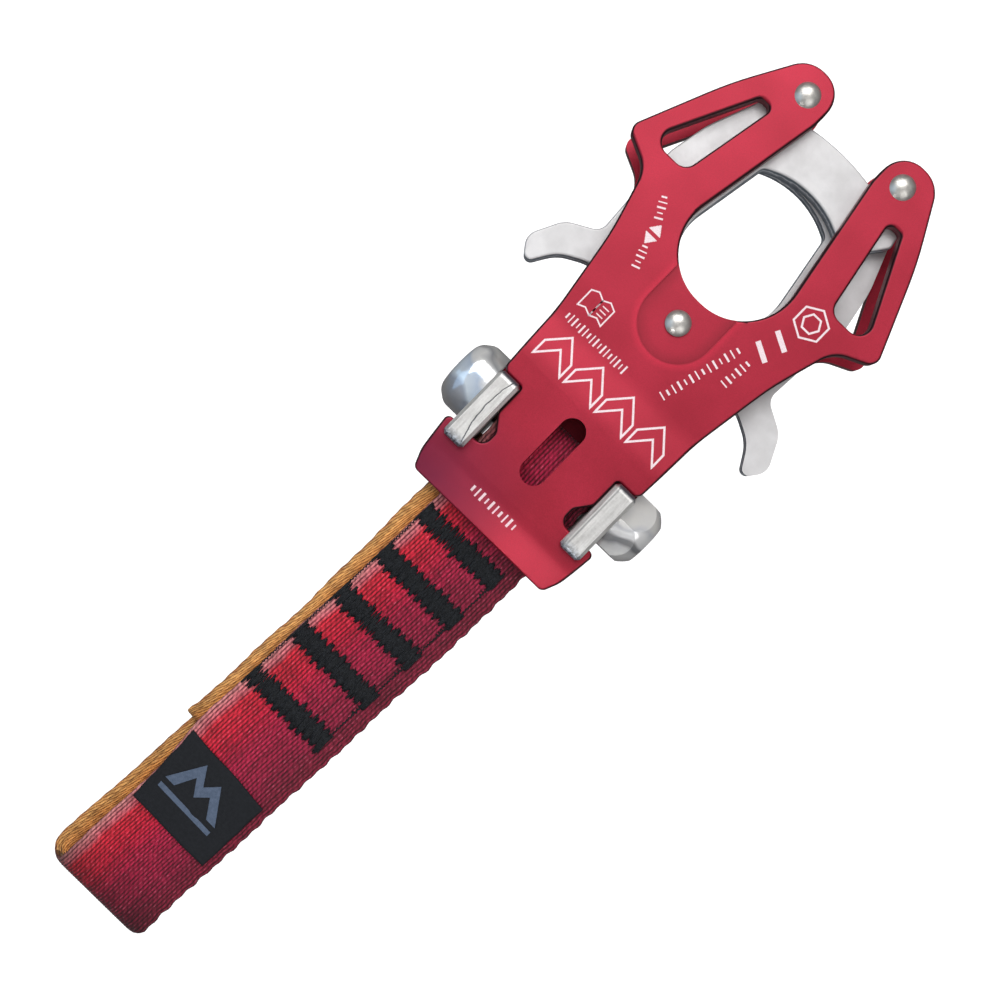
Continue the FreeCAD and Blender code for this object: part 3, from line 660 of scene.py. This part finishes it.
def pull_in(y):
    """How far the stitching presses the tape down: 1 at the middle of a bar tack, 0 between two."""
    nearest = min(abs(y - row) for row in TACK_ROWS)
    return 1 - smooth(nearest / 6.0)


def tape_section(row, normal, travel, waves):
    """Points of one section, from edge to edge on the front face and then on the back face."""
    y, z, middle, half, press = row
    ripple = math.sin(travel * TURN / EDGE_WAVES[0]) + 0.5 * math.sin(travel * TURN / EDGE_WAVES[1] + 1.0)
    section = []
    for side in (1, -1):
        for column in range(TAPE_COLUMNS + 1):
            u = column / TAPE_COLUMNS * 2 - 1
            reach = half + waves[1 if u > 0 else 0] * ripple * abs(u) ** 8
            body = WEB_DEEP * math.sqrt(max(0.0, 1 - abs(u) ** 14))
            groove = GROOVE_DEEP * (1 - math.cos(column / RIB_COLUMNS * TURN)) * (1 - abs(u) ** 8)
            pucker = PUCKER_DEEP * (1 - math.cos(u * half * TURN / TOOTH_PITCH)) * 4 * press * (1 - press)
            sunk = (PRESS_DEEP * press + pucker) * (1 - abs(u) ** 6) if side == 1 else 0.0
            deep = side * max(0.0, body - groove - sunk)
            section.append(at(middle + u * reach, y + normal.x * deep, z + normal.y * deep))
    return section


class TapeFaces:
    """Faces of a tape, with each one's material (0 front, 1 back) and its corners' places on the weave."""

    def __init__(self):
        self.faces = []
        self.indices = []
        self.texture = []

    def add(self, face, index, places):
        self.faces.append(face)
        self.indices.append(index)
        self.texture += [(column / TAPE_COLUMNS, v) for column, v in places]

    def strip(self, first_row, second_row, v_low, v_high):
        """Both faces and both edges between two sections."""
        wide = TAPE_COLUMNS + 1
        for side in (0, 1):
            for column in range(TAPE_COLUMNS):
                first = (first_row * 2 + side) * wide + column
                second = (second_row * 2 + side) * wide + column
                quad = (first, first + 1, second + 1, second)
                places = [(column, v_low), (column + 1, v_low), (column + 1, v_high), (column, v_high)]
                if side == 1:
                    quad = quad[::-1]
                    places = places[::-1]
                self.add(quad, side, places)
        for column in (0, TAPE_COLUMNS):
            a = first_row * 2 * wide + column
            b = second_row * 2 * wide + column
            left = (a, b, b + wide, a + wide)
            right = (a, a + wide, b + wide, b)
            self.add(right if column else left, 0 if column else 1, [(column, v_low)] * 4)

    def end(self, row, v, turned):
        """A cut end."""
        wide = TAPE_COLUMNS + 1
        for column in range(TAPE_COLUMNS):
            a = row * 2 * wide + column
            quad = (a, a + wide, a + wide + 1, a + 1)
            self.add(quad[::-1] if turned else quad, 0, [(column, v)] * 4)


def tape(name, rows, closed, waves):
    """A woven tape from rows of (y, z, middle, half width, press), with its length; both faces are ribbed."""
    count = len(rows)
    places = [Vector(row[:2]) for row in rows]
    vertices = []
    lengths = []
    travel = 0.0
    for number, row in enumerate(rows):
        here = places[number]
        before = places[number - 1] if closed or number > 0 else here
        after = places[(number + 1) % count] if closed or number < count - 1 else here
        tangent = (after - before).normalized()
        if number > 0:
            travel += (here - before).length
        lengths.append(travel)
        vertices += tape_section(row, Vector((-tangent.y, tangent.x)), travel, waves)
    built = TapeFaces()
    for number in range(count if closed else count - 1):
        following = (number + 1) % count
        v_low = lengths[number] / TEXTURE_LENGTH
        v_high = v_low + (places[following] - places[number]).length / TEXTURE_LENGTH
        built.strip(number, following, v_low, v_high)
    if not closed:
        built.end(0, lengths[0] / TEXTURE_LENGTH, False)
        built.end(count - 1, travel / TEXTURE_LENGTH, True)
    piece = new_piece(name, vertices, built.faces, [FACE, BACK], built.indices)
    layer = piece.data.uv_layers.new(name="weave")
    layer.data.foreach_set("uv", [number for pair in built.texture for number in pair])
    return piece, travel


def loop_corners():
    """Corners of the loop's path: up its front side from the open end to the bolt, and down its back side."""
    bolt_low, bolt_high = (from_pivot(corner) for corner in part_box("sling_bolt"))
    bolt_y = (bolt_low.y + bolt_high.y) / 2
    end = from_pivot(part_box("front_strand")[0]).y + WEB_DEEP + 0.1
    front = [(end, OPEN_HALF, OPEN_HALF - 0.01), (OPEN_Y, OPEN_HALF, 12.0), (SEWN_Y[1], LAYER, 12.0),
             (SEWN_Y[0], LAYER, 14.0), (NECK_Y, BOLT_WRAP, 14.0),
             (bolt_y + BOLT_WRAP, BOLT_WRAP, BOLT_WRAP - 0.01)]
    return front + [(y, -z, radius) for y, z, radius in reversed(front)]


def loop_row(y, z):
    """One section of the loop, as tape() takes it."""
    near_turn = y < END_TURN_Y or y > BOLT_TURN_Y
    front_share = smooth((z + 4.2) / 8.4) if near_turn else float(z > 0)
    hanging = smooth((BOLT_TURN_Y - y) / 16)
    strands = front_middle(y) * front_share + back_middle(y) * (1 - front_share)
    middle = strands * hanging + BOLT_SHIFT * (1 - hanging)
    tucked = END_TUCK * (1 - smooth(abs(z) / OPEN_HALF)) if y < END_TURN_Y else 0.0
    middle -= tucked
    width = front_half_width(y) * front_share + WEB_HALF * (1 - front_share)
    width = width - tucked + BOLT_SPREAD * (1 - hanging)
    sway = 0.12 * math.sin(y * 0.21 + (0.6 if z > 0 else 2.0))
    return y, z, middle + sway, width, pull_in(y)


def tail_row(y, z):
    """One section of the overlap, whose cut end curls a little to the left."""
    curl = 0.35 * smooth((-128.0 - y) / 4.0)
    return y, z, tail_middle(y) - curl + 0.12 * math.sin(y * 0.3), WEB_HALF, 0.0


def build_webbing():
    """The sewn loop: over the bolt, down as two strands, and round its open end; then its overlap."""
    rows = [loop_row(y, z) for y, z in sampled(loop_corners(), True)]
    loop, loop_length = tape("sling_webbing", rows, True, (0.05, 0.16))
    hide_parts("sling_wrap", "front_strand", "back_strand")
    tail_path = sampled([(TAIL_TOP, 0, 0), (SEWN_Y[1], -0.1, 30.0), (*TAIL_END, 0)], False)
    tail, tail_length = tape("sling_overlap", [tail_row(y, z) for y, z in tail_path], False, (0.07, 0.07))
    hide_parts("overlap_strand")
    for piece in (loop, tail):
        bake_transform(piece)
    cloth_shape = BVHTree.FromObject(loop, bpy.context.evaluated_depsgraph_get())
    return cloth_shape


RAY_FROM = 40


def on_cloth(cloth_shape, x, y, side, lift):
    """A place just above the front or back face of the loop, and never lower than the sewn layers."""
    hit = cloth_shape.ray_cast(at(x, y, side * RAY_FROM), Vector((0, 0, -side)))[0]
    level = from_pivot(hit).z if hit else 0.0
    return x, y, side * (max(side * level, LAYER) + lift)


def tube(name, runs, radius, body, material):
    """Thread or wire along several open runs of points, as one mesh with closed ends."""
    curve = bpy.data.curves.new(name, "CURVE")
    curve.dimensions = "3D"
    curve.bevel_depth = radius * MM
    curve.bevel_resolution = 1
    curve.use_fill_caps = True
    for run in runs:
        spline = curve.splines.new("POLY")
        spline.points.add(len(run) - 1)
        for point, place in zip(spline.points, run):
            point.co = (*at(*place), 1)
    holder = add_object(name + "_line", curve)
    bpy.context.view_layer.update()
    mesh = bpy.data.meshes.new_from_object(holder.evaluated_get(bpy.context.evaluated_depsgraph_get()))
    bpy.data.objects.remove(holder)
    mesh.materials.clear()
    mesh.materials.append(material)
    mesh.polygons.foreach_set("use_smooth", [True] * len(mesh.polygons))
    piece = add_object(name, mesh)
    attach(piece, body)
    return piece


WIRE_RAD = 0.4
COIL_RAD = 3.75
COIL_LEG = 8.0
COIL_TURNS = 2.5
COIL_RISE = 2.05
COIL_STEPS = 60


def build_spring():
    """Torsion spring: its coil stays with the frame, and each leg turns with the gate that it pushes."""
    coil = []
    for step in range(COIL_STEPS + 1):
        share = step / COIL_STEPS
        angle = TURN * COIL_TURNS * share
        coil.append((COIL_RAD * math.cos(angle), COIL_RAD * math.sin(angle), COIL_RISE * (share - 0.5)))
    finish = FINISHES["spring_steel"]
    coil_piece = tube("spring_coil", [coil], WIRE_RAD, "frame_body", finish)
    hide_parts("torsion_spring")
    for gate in ("left_gate", "right_gate"):
        low, high = (from_pivot(corner).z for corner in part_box(gate))
        side = 1 if low + high > 0 else -1
        leg = [(-side * reach, 0, side * COIL_RISE / 2) for reach in (COIL_RAD, COIL_LEG)]
        tube(gate + "_spring_leg", [leg], WIRE_RAD, gate + "_body", finish)


CORE_HALF = 1.6
TOOTH_TALL = 2.0
TACK_PASSES = 3
TACK_THREAD = 0.17
SEAM_THREAD = 0.18
STITCH_PITCH = 0.33


def tooth_line(count):
    """Heights of the jagged edge of a bar tack, one for each tooth."""
    return [TOOTH_TALL * rng.uniform(0.65, 1.1) for _ in range(count)]


def jagged(teeth, x):
    """Height of the jagged edge at a place along the tack: steep triangles side by side."""
    place = x / TOOTH_PITCH
    peak = abs(2 * (place % 1.0) - 1)
    return teeth[int(place) % len(teeth)] * (1 - peak) ** 0.9


def stitch_row(cloth_shape, left, y, tops, bottoms, side):
    """One zigzag pass: strokes run along the sling and dip into the webbing at either end."""
    run = []
    x = 0.0
    up = True
    while x < TACK_WIDE:
        high = y + CORE_HALF + jagged(tops, x + 0.4) + rng.uniform(-0.15, 0.10)
        low = y - CORE_HALF - jagged(bottoms, x + 1.1) - rng.uniform(-0.15, 0.10)
        first, last = (low, high) if up else (high, low)
        lift = rng.uniform(0.10, 0.22)
        for share, height in ((0.0, -0.1), (0.12, lift), (0.5, lift + 0.10), (0.88, lift)):
            across, along = left + x + STITCH_PITCH * share, first + (last - first) * share
            run.append(on_cloth(cloth_shape, across, along, side, height))
        x += STITCH_PITCH * rng.uniform(0.8, 1.2)
        up = not up
    return run


def seam_run(cloth_shape, middle, inset, high, low, swing, side):
    """The thin zigzag that joins two bar tacks along one side."""
    run = []
    along = high
    outward = 1
    while along > low:
        x = middle(along) - WEB_HALF + inset + outward * rng.uniform(0.4, 1.0) * swing
        run.append(on_cloth(cloth_shape, x, along, side, 0.12 if outward > 0 else 0.02))
        along -= rng.uniform(0.28, 0.55)
        outward = -outward
    return run


def build_stitching(cloth_shape):
    """Bar tacks in three passes each, front and back, with the seams between them down both sides."""
    tacks = []
    seams = []
    for side, middle in ((1, front_middle), (-1, back_middle)):
        for index, y in enumerate(TACK_ROWS):
            left = middle(y) - WEB_HALF + 0.05
            teeth = round(TACK_WIDE / TOOTH_PITCH) + 2
            tops, bottoms = tooth_line(teeth), tooth_line(teeth)
            for layer in range(TACK_PASSES):
                start = left + layer * STITCH_PITCH / TACK_PASSES
                tacks.append(stitch_row(cloth_shape, start, y, tops, bottoms, side))
            if index + 1 == len(TACK_ROWS):
                continue
            high = y - CORE_HALF + 0.2
            low = TACK_ROWS[index + 1] + CORE_HALF - 0.2
            for inset, foot, swing in ((0.30, low, 0.20), (TACK_WIDE - 0.35, low, 0.22),
                                       (TACK_WIDE - 0.5, y - CORE_HALF - 3.4, 0.55)):
                seams.append(seam_run(cloth_shape, middle, inset, high, foot, swing, side))
    tack_thread = tube("bar_tack_thread", tacks, TACK_THREAD, "sling_body", THREAD)
    seam_thread = tube("side_seam_thread", seams, SEAM_THREAD, "sling_body", THREAD)
    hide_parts("bar_tacks")
    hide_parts("side_stitching")


# -------- label
LABEL_CORNERS = ((-12.9, -150.6), (8.05, -151.0), (-13.3, -131.9), (8.8, -133.5))
LABEL_THICK = 0.42
LABEL_COLUMNS = 44
LABEL_ROWS = 38
MOTIF_PEAKS = ((-0.78, -0.16), (-0.34, 0.72), (-0.10, 0.30), (0.14, 0.62), (0.62, -0.16), (0.38, -0.16),
               (0.13, 0.26), (-0.10, -0.02), (-0.32, 0.34), (-0.54, -0.16))
MOTIF_GROUND = ((-0.78, -0.42), (0.62, -0.42), (0.62, -0.30), (-0.78, -0.30))


def on_label(u, v, lift):
    """A place on the label's slightly curved cloth; u and v run from -1 to 1 across and up it."""
    low_left, low_right, high_left, high_right = (Vector(corner) for corner in LABEL_CORNERS)
    across, up = (u + 1) / 2, (v + 1) / 2
    low = low_left.lerp(low_right, across)
    high = high_left.lerp(high_right, across)
    spot = low.lerp(high, up)
    ripple = 0.10 * math.sin(u * 5.0 + 1.0) * math.cos(v * 3.0) + 0.16 * (abs(v) ** 6) * (1 + u) / 2
    return at(spot.x, spot.y, OPEN_HALF + WEB_DEEP + 0.10 + ripple + lift)


def label_points():
    """Points of the label's face and then of its back, row by row; its edges are a little wavy."""
    points = []
    for lift in (LABEL_THICK, 0.0):
        for row in range(LABEL_ROWS + 1):
            for column in range(LABEL_COLUMNS + 1):
                u, v = column / LABEL_COLUMNS * 2 - 1, row / LABEL_ROWS * 2 - 1
                bow_u = 1 + 0.006 * math.sin(v * 9.0)
                bow_v = 1 + 0.010 * math.sin(u * 4.0 + 0.7)
                round_edge = 0.12 if lift and max(abs(u), abs(v)) > 0.999 else 0.0
                points.append(on_label(u * bow_u, v * bow_v, lift - round_edge))
    return points


def label_faces():
    """Face, back and rim of the label."""
    wide = LABEL_COLUMNS + 1
    sheet = wide * (LABEL_ROWS + 1)
    faces = []
    for row in range(LABEL_ROWS):
        for column in range(LABEL_COLUMNS):
            a = row * wide + column
            top = (a, a + 1, a + 1 + wide, a + wide)
            faces.append(top)
            faces.append(tuple(sheet + index for index in reversed(top)))
    rim = list(range(wide))
    rim += [wide * (row + 1) + LABEL_COLUMNS for row in range(LABEL_ROWS)]
    rim += [wide * LABEL_ROWS + LABEL_COLUMNS - 1 - column for column in range(LABEL_COLUMNS)]
    rim += [wide * (LABEL_ROWS - 1 - row) for row in range(LABEL_ROWS - 1)]
    for here, following in zip(rim, rim[1:] + rim[:1]):
        faces.append((here, here + sheet, following + sheet, following))
    return faces


def build_label():
    """Sewn cloth label with a plain two-peak motif."""
    label = new_piece("label_cloth", label_points(), label_faces(), [LABEL])
    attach(label, "sling_body")
    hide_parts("label")
    motif = build_motif()


def build_motif():
    """Two plain peaks over a ground line, embroidered on the label."""
    vertices = []
    faces = []
    for outline in (MOTIF_PEAKS, MOTIF_GROUND):
        start = len(vertices)
        count = len(outline)
        for lift in (LABEL_THICK + 0.09, LABEL_THICK - 0.1):
            vertices += [on_label(u, v, lift) for u, v in outline]
        faces.append(tuple(range(start + count - 1, start - 1, -1)))
        faces.append(tuple(range(start + count, start + 2 * count)))
        for index in range(count):
            following = (index + 1) % count
            faces.append((start + index, start + following, start + following + count, start + index + count))
    motif = new_piece("label_motif", vertices, faces, [EMBROIDERY], shade=False)
    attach(motif, "sling_body")
    return motif


# -------- etched marks
MARK_RISE = 0.02
MARK_STEP = 0.5
MITRE_LEAST = 0.45


def ribbon(points, closed, width, ground):
    """A thin closed band of the given width along a line, half sunk in the plate's front face."""
    dense = []
    count = len(points)
    for index in range(count if closed else count - 1):
        a, b = Vector(points[index]), Vector(points[(index + 1) % count])
        parts = max(1, round((b - a).length / MARK_STEP))
        dense += [a.lerp(b, part / parts) for part in range(parts)]
    if not closed:
        dense.append(Vector(points[-1]))
    count = len(dense)
    vertices = []
    for index, point in enumerate(dense):
        before = dense[index - 1] if closed or index else point
        after = dense[(index + 1) % count] if closed or index < count - 1 else point
        incoming = (point - before).normalized() if point != before else (after - point).normalized()
        outgoing = (after - point).normalized() if after != point else incoming
        bend = (incoming + outgoing).normalized()
        normal = Vector((-bend.y, bend.x))
        reach = width / 2 / max(MITRE_LEAST, abs(normal.dot(Vector((-incoming.y, incoming.x)))))
        for side in (1, -1):
            spot = point + normal * reach * side
            hit = ground.ray_cast(at(spot.x, spot.y, RAY_FROM), Vector((0, 0, -1)))[0]
            vertices += [hit + Vector((0, 0, rise * MM)) for rise in (MARK_RISE, -MARK_RISE)]
    faces = []
    ring = (0, 2, 3, 1)
    for index in range(count if closed else count - 1):
        a = index * 4
        b = (index + 1) % count * 4
        for here, following in zip(ring, ring[1:] + ring[:1]):
            faces.append((a + here, a + following, b + following, b + here))
    if not closed:
        faces.append(tuple(reversed(ring)))
        faces.append(tuple((count - 1) * 4 + corner for corner in ring))
    return vertices, faces


def hexagon(x, y, radius, turn):
    """Corners of a regular hexagon, turned by some degrees."""
    angles = [math.radians(turn + 60 * index) for index in range(6)]
    return [(x + radius * math.cos(angle), y + radius * math.sin(angle)) for angle in angles]


def chevron(x, y, wide, tall, thick):
    """Outline of an upward-pointing chevron."""
    return [(x - wide / 2, y), (x, y + tall - thick), (x + wide / 2, y), (x + wide / 2, y + thick),
            (x, y + tall), (x - wide / 2, y + thick)]


def tick_row(start, direction, count, pitch, length, width):
    """Short parallel strokes in a row, every third one shorter and every other one bolder."""
    direction = Vector(direction).normalized()
    across = Vector((-direction.y, direction.x))
    strokes = []
    for index in range(count):
        middle = Vector(start) + direction * index * pitch
        half = length / 2 if index % 3 else length * 0.32
        ends = [tuple(middle - across * half), tuple(middle + across * half)]
        strokes.append((ends, False, width * (1.0 if index % 2 else 1.5)))
    return strokes


# Each of these gives its lines as (points, closed, width).
def book_lines():
    """An open book of two pages, one of them with three lines."""
    page = [(-14.5, -7.6), (-12.9, -6.8), (-11.2, -7.6), (-11.2, -11.8), (-12.9, -11.1), (-14.5, -11.8)]
    lines = [(page, True, 0.32), ([(x - 3.3, y) for x, y in page], True, 0.32)]
    for step in range(3):
        lines.append(([(-13.7, -8.4 - step), (-12.0, -8.4 - step)], False, 0.26))
    return lines


def arrow_lines():
    """Two arrowheads back to back, each filled with strokes, and a row of ticks beside either one."""
    strokes = 8
    lines = []
    for side in (1, -1):
        for step in range(strokes):
            level = side * (0.55 + step * 0.26)
            half = 1.5 * (1 - step / strokes)
            lines.append(([(-16.7 - half, 9.6 + level), (-16.7 + half, 9.6 + level)], False, 0.27))
    lines += tick_row((-20.4, 16.8), (0.55, -1.0), 5, 1.15, 1.9, 0.26)
    lines += tick_row((-16.1, 6.6), (0.35, -1.0), 5, 1.15, 1.9, 0.26)
    return lines


def hexagon_lines():
    """One hexagon inside another, and two slanting bars below them."""
    lines = [(hexagon(20.0, 19.2, radius, turn), True, 0.42) for radius, turn in ((3.8, 30), (2.1, 0))]
    for x, y in ((18.0, 12.2), (16.6, 7.8)):
        lines.append(([(x - 2.1, y + 1.1), (x + 2.1, y - 1.1)], False, 1.15))
    return lines


def chevron_lines():
    """Four chevrons side by side, above the slot."""
    return [(chevron(-13.6 + index * 8.9, -25.6, 7.6, 8.0, 3.6), True, 0.46) for index in range(4)]


def tick_lines():
    """Rows of ticks: over the chevrons, two under the hexagon, and one on the rolled foot."""
    return (tick_row((-17.6, -14.9), (1.0, 0.0), 17, 1.02, 2.1, 0.26)
            + tick_row((16.3, 4.0), (-0.10, -1.0), 6, 1.3, 1.9, 0.30)
            + tick_row((13.0, 4.6), (-0.27, -1.0), 14, 1.42, 2.0, 0.30)
            + tick_row((-6.6, -54.4), (1.0, 0.0), 10, 1.3, 2.1, 0.36))


def build_marks():
    """Generic marks only, laid on the front plate."""
    ground = BVHTree.FromObject(frame["nodes"]["front_plate"], bpy.context.evaluated_depsgraph_get())
    vertices = []
    faces = []
    lines = book_lines() + arrow_lines() + hexagon_lines() + chevron_lines() + tick_lines()
    for points, closed, width in lines:
        some_vertices, some_faces = ribbon(points, closed, width, ground)
        start = len(vertices)
        vertices += some_vertices
        faces += [tuple(start + index for index in face) for face in some_faces]
    marks = new_piece("etched_marks", vertices, faces, [ETCHED], shade=False)
    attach(marks, "frame_body")


# -------- stage, light and camera
# The stage is in metres: how far the floor lies flat, how high its wall goes, and how low it lies.
FLOOR_FLAT = 2.0
FLOOR_WALL = 4.0
FLOOR_LEVEL = -0.115
FLOOR_SIDES = 64
FLOOR_BEND_STEPS = 12


def build_floor():
    """A pale floor, low enough for the bent sling, that curves up into a wall all round."""
    profile = [(FLOOR_FLAT, 0.0)]
    for step in range(1, FLOOR_BEND_STEPS + 1):
        angle = math.pi / 2 * step / FLOOR_BEND_STEPS
        profile.append((FLOOR_FLAT + math.sin(angle), 1 - math.cos(angle)))
    profile.append((FLOOR_FLAT + 1, FLOOR_WALL))
    vertices = [(0, 0, FLOOR_LEVEL)]
    for radius, height in profile:
        for step in range(FLOOR_SIDES):
            angle = TURN * step / FLOOR_SIDES
            vertices.append((radius * math.cos(angle), radius * math.sin(angle), height + FLOOR_LEVEL))
    faces = []
    for step in range(FLOOR_SIDES):
        following = (step + 1) % FLOOR_SIDES
        faces.append((0, 1 + step, 1 + following))
        for ring in range(len(profile) - 1):
            low, high = 1 + ring * FLOOR_SIDES, 1 + (ring + 1) * FLOOR_SIDES
            faces.append((low + step, high + step, high + following, low + following))
    floor = new_piece("floor", vertices, faces, [floor_paper()])
    floor.visible_glossy = False
    floor.visible_diffuse = False
    floor.visible_shadow = False


def build_sky():
    """An even studio sky, brighter overhead than at the horizon."""
    world = bpy.data.worlds.new("studio")
    bpy.context.scene.world = world
    world.use_nodes = True
    tree = world.node_tree
    place = tree.nodes.new("ShaderNodeTexCoord")
    parts = tree.nodes.new("ShaderNodeSeparateXYZ")
    ramp = tree.nodes.new("ShaderNodeValToRGB")
    tree.links.new(place.outputs["Generated"], parts.inputs[0])
    tree.links.new(parts.outputs["Z"], ramp.inputs["Fac"])
    levels = ((0.0, 0.16), (0.30, 0.24), (0.62, 0.42), (1.0, 0.58))
    set_stops(ramp.color_ramp, [(position, (level, level, level * 1.02)) for position, level in levels])
    background = tree.nodes["Background"]
    tree.links.new(ramp.outputs["Color"], background.inputs["Color"])
    background.inputs["Strength"].default_value = 1.0


def area_light(name, place, target, size, watts, colour=(1, 1, 1), gloss_only=False):
    """A rectangular light aimed at a target; it may show in reflections only."""
    light = bpy.data.lights.new(name, "AREA")
    light.shape = "RECTANGLE"
    light.size, light.size_y = size
    light.energy = watts
    light.color = colour
    lamp = add_object(name, light)
    lamp.location = place
    lamp.rotation_euler = (target - place).to_track_quat("-Z", "Y").to_euler()
    lamp.visible_diffuse = not gloss_only
    lamp.visible_camera = False


def build_lights():
    """A soft key and fill, a cool window for the metal, and a small glow on the swelling over the bolt."""
    aim = at(0, -50, 0)
    area_light("key", aim + Vector((-0.35, 0.45, 0.75)), aim, (0.9, 0.7), 6.6)
    area_light("fill", aim + Vector((0.6, -0.2, 0.7)), aim, (0.7, 0.7), 1.8)
    window = aim + Vector((-0.50, -0.33, 0.38))
    area_light("cool_window", window, aim, (0.7, 0.7), 1.05, (0.48, 0.74, 1.0), gloss_only=True)
    area_light("roll_glow", at(16, -132, 96), at(10, -54, 8), (0.03, 0.02), 0.028, gloss_only=True)


# The camera looks straight down on the plates, turned as in the photograph.
VIEW_TURN = math.radians(44.25)
VIEW_CENTRE = (-0.9, -52.3)
VIEW_AWAY = 250.0
SENSOR_MM = 36.0
FRAME_PIXELS = 1000
PIXELS_PER_MM = 4.8


def build_camera():
    """A camera near enough for the photograph's perspective, with the lens that gives its scale."""
    camera_data = bpy.data.cameras.new("camera")
    camera_data.sensor_width = SENSOR_MM
    camera_data.lens = SENSOR_MM * PIXELS_PER_MM * VIEW_AWAY / FRAME_PIXELS
    camera_data.clip_start = 0.01
    camera_data.clip_end = 10
    camera = add_object("camera", camera_data)
    camera.location = at(*VIEW_CENTRE, PLATE_FRONT + VIEW_AWAY)
    camera.rotation_euler = (0, 0, VIEW_TURN)
    bpy.context.scene.camera = camera


dress_cad_nodes()
build_stitching(build_webbing())
build_label()
build_spring()
build_marks()
build_floor()
build_sky()
build_lights()
build_camera()
bpy.context.scene.view_settings.view_transform = "Standard"
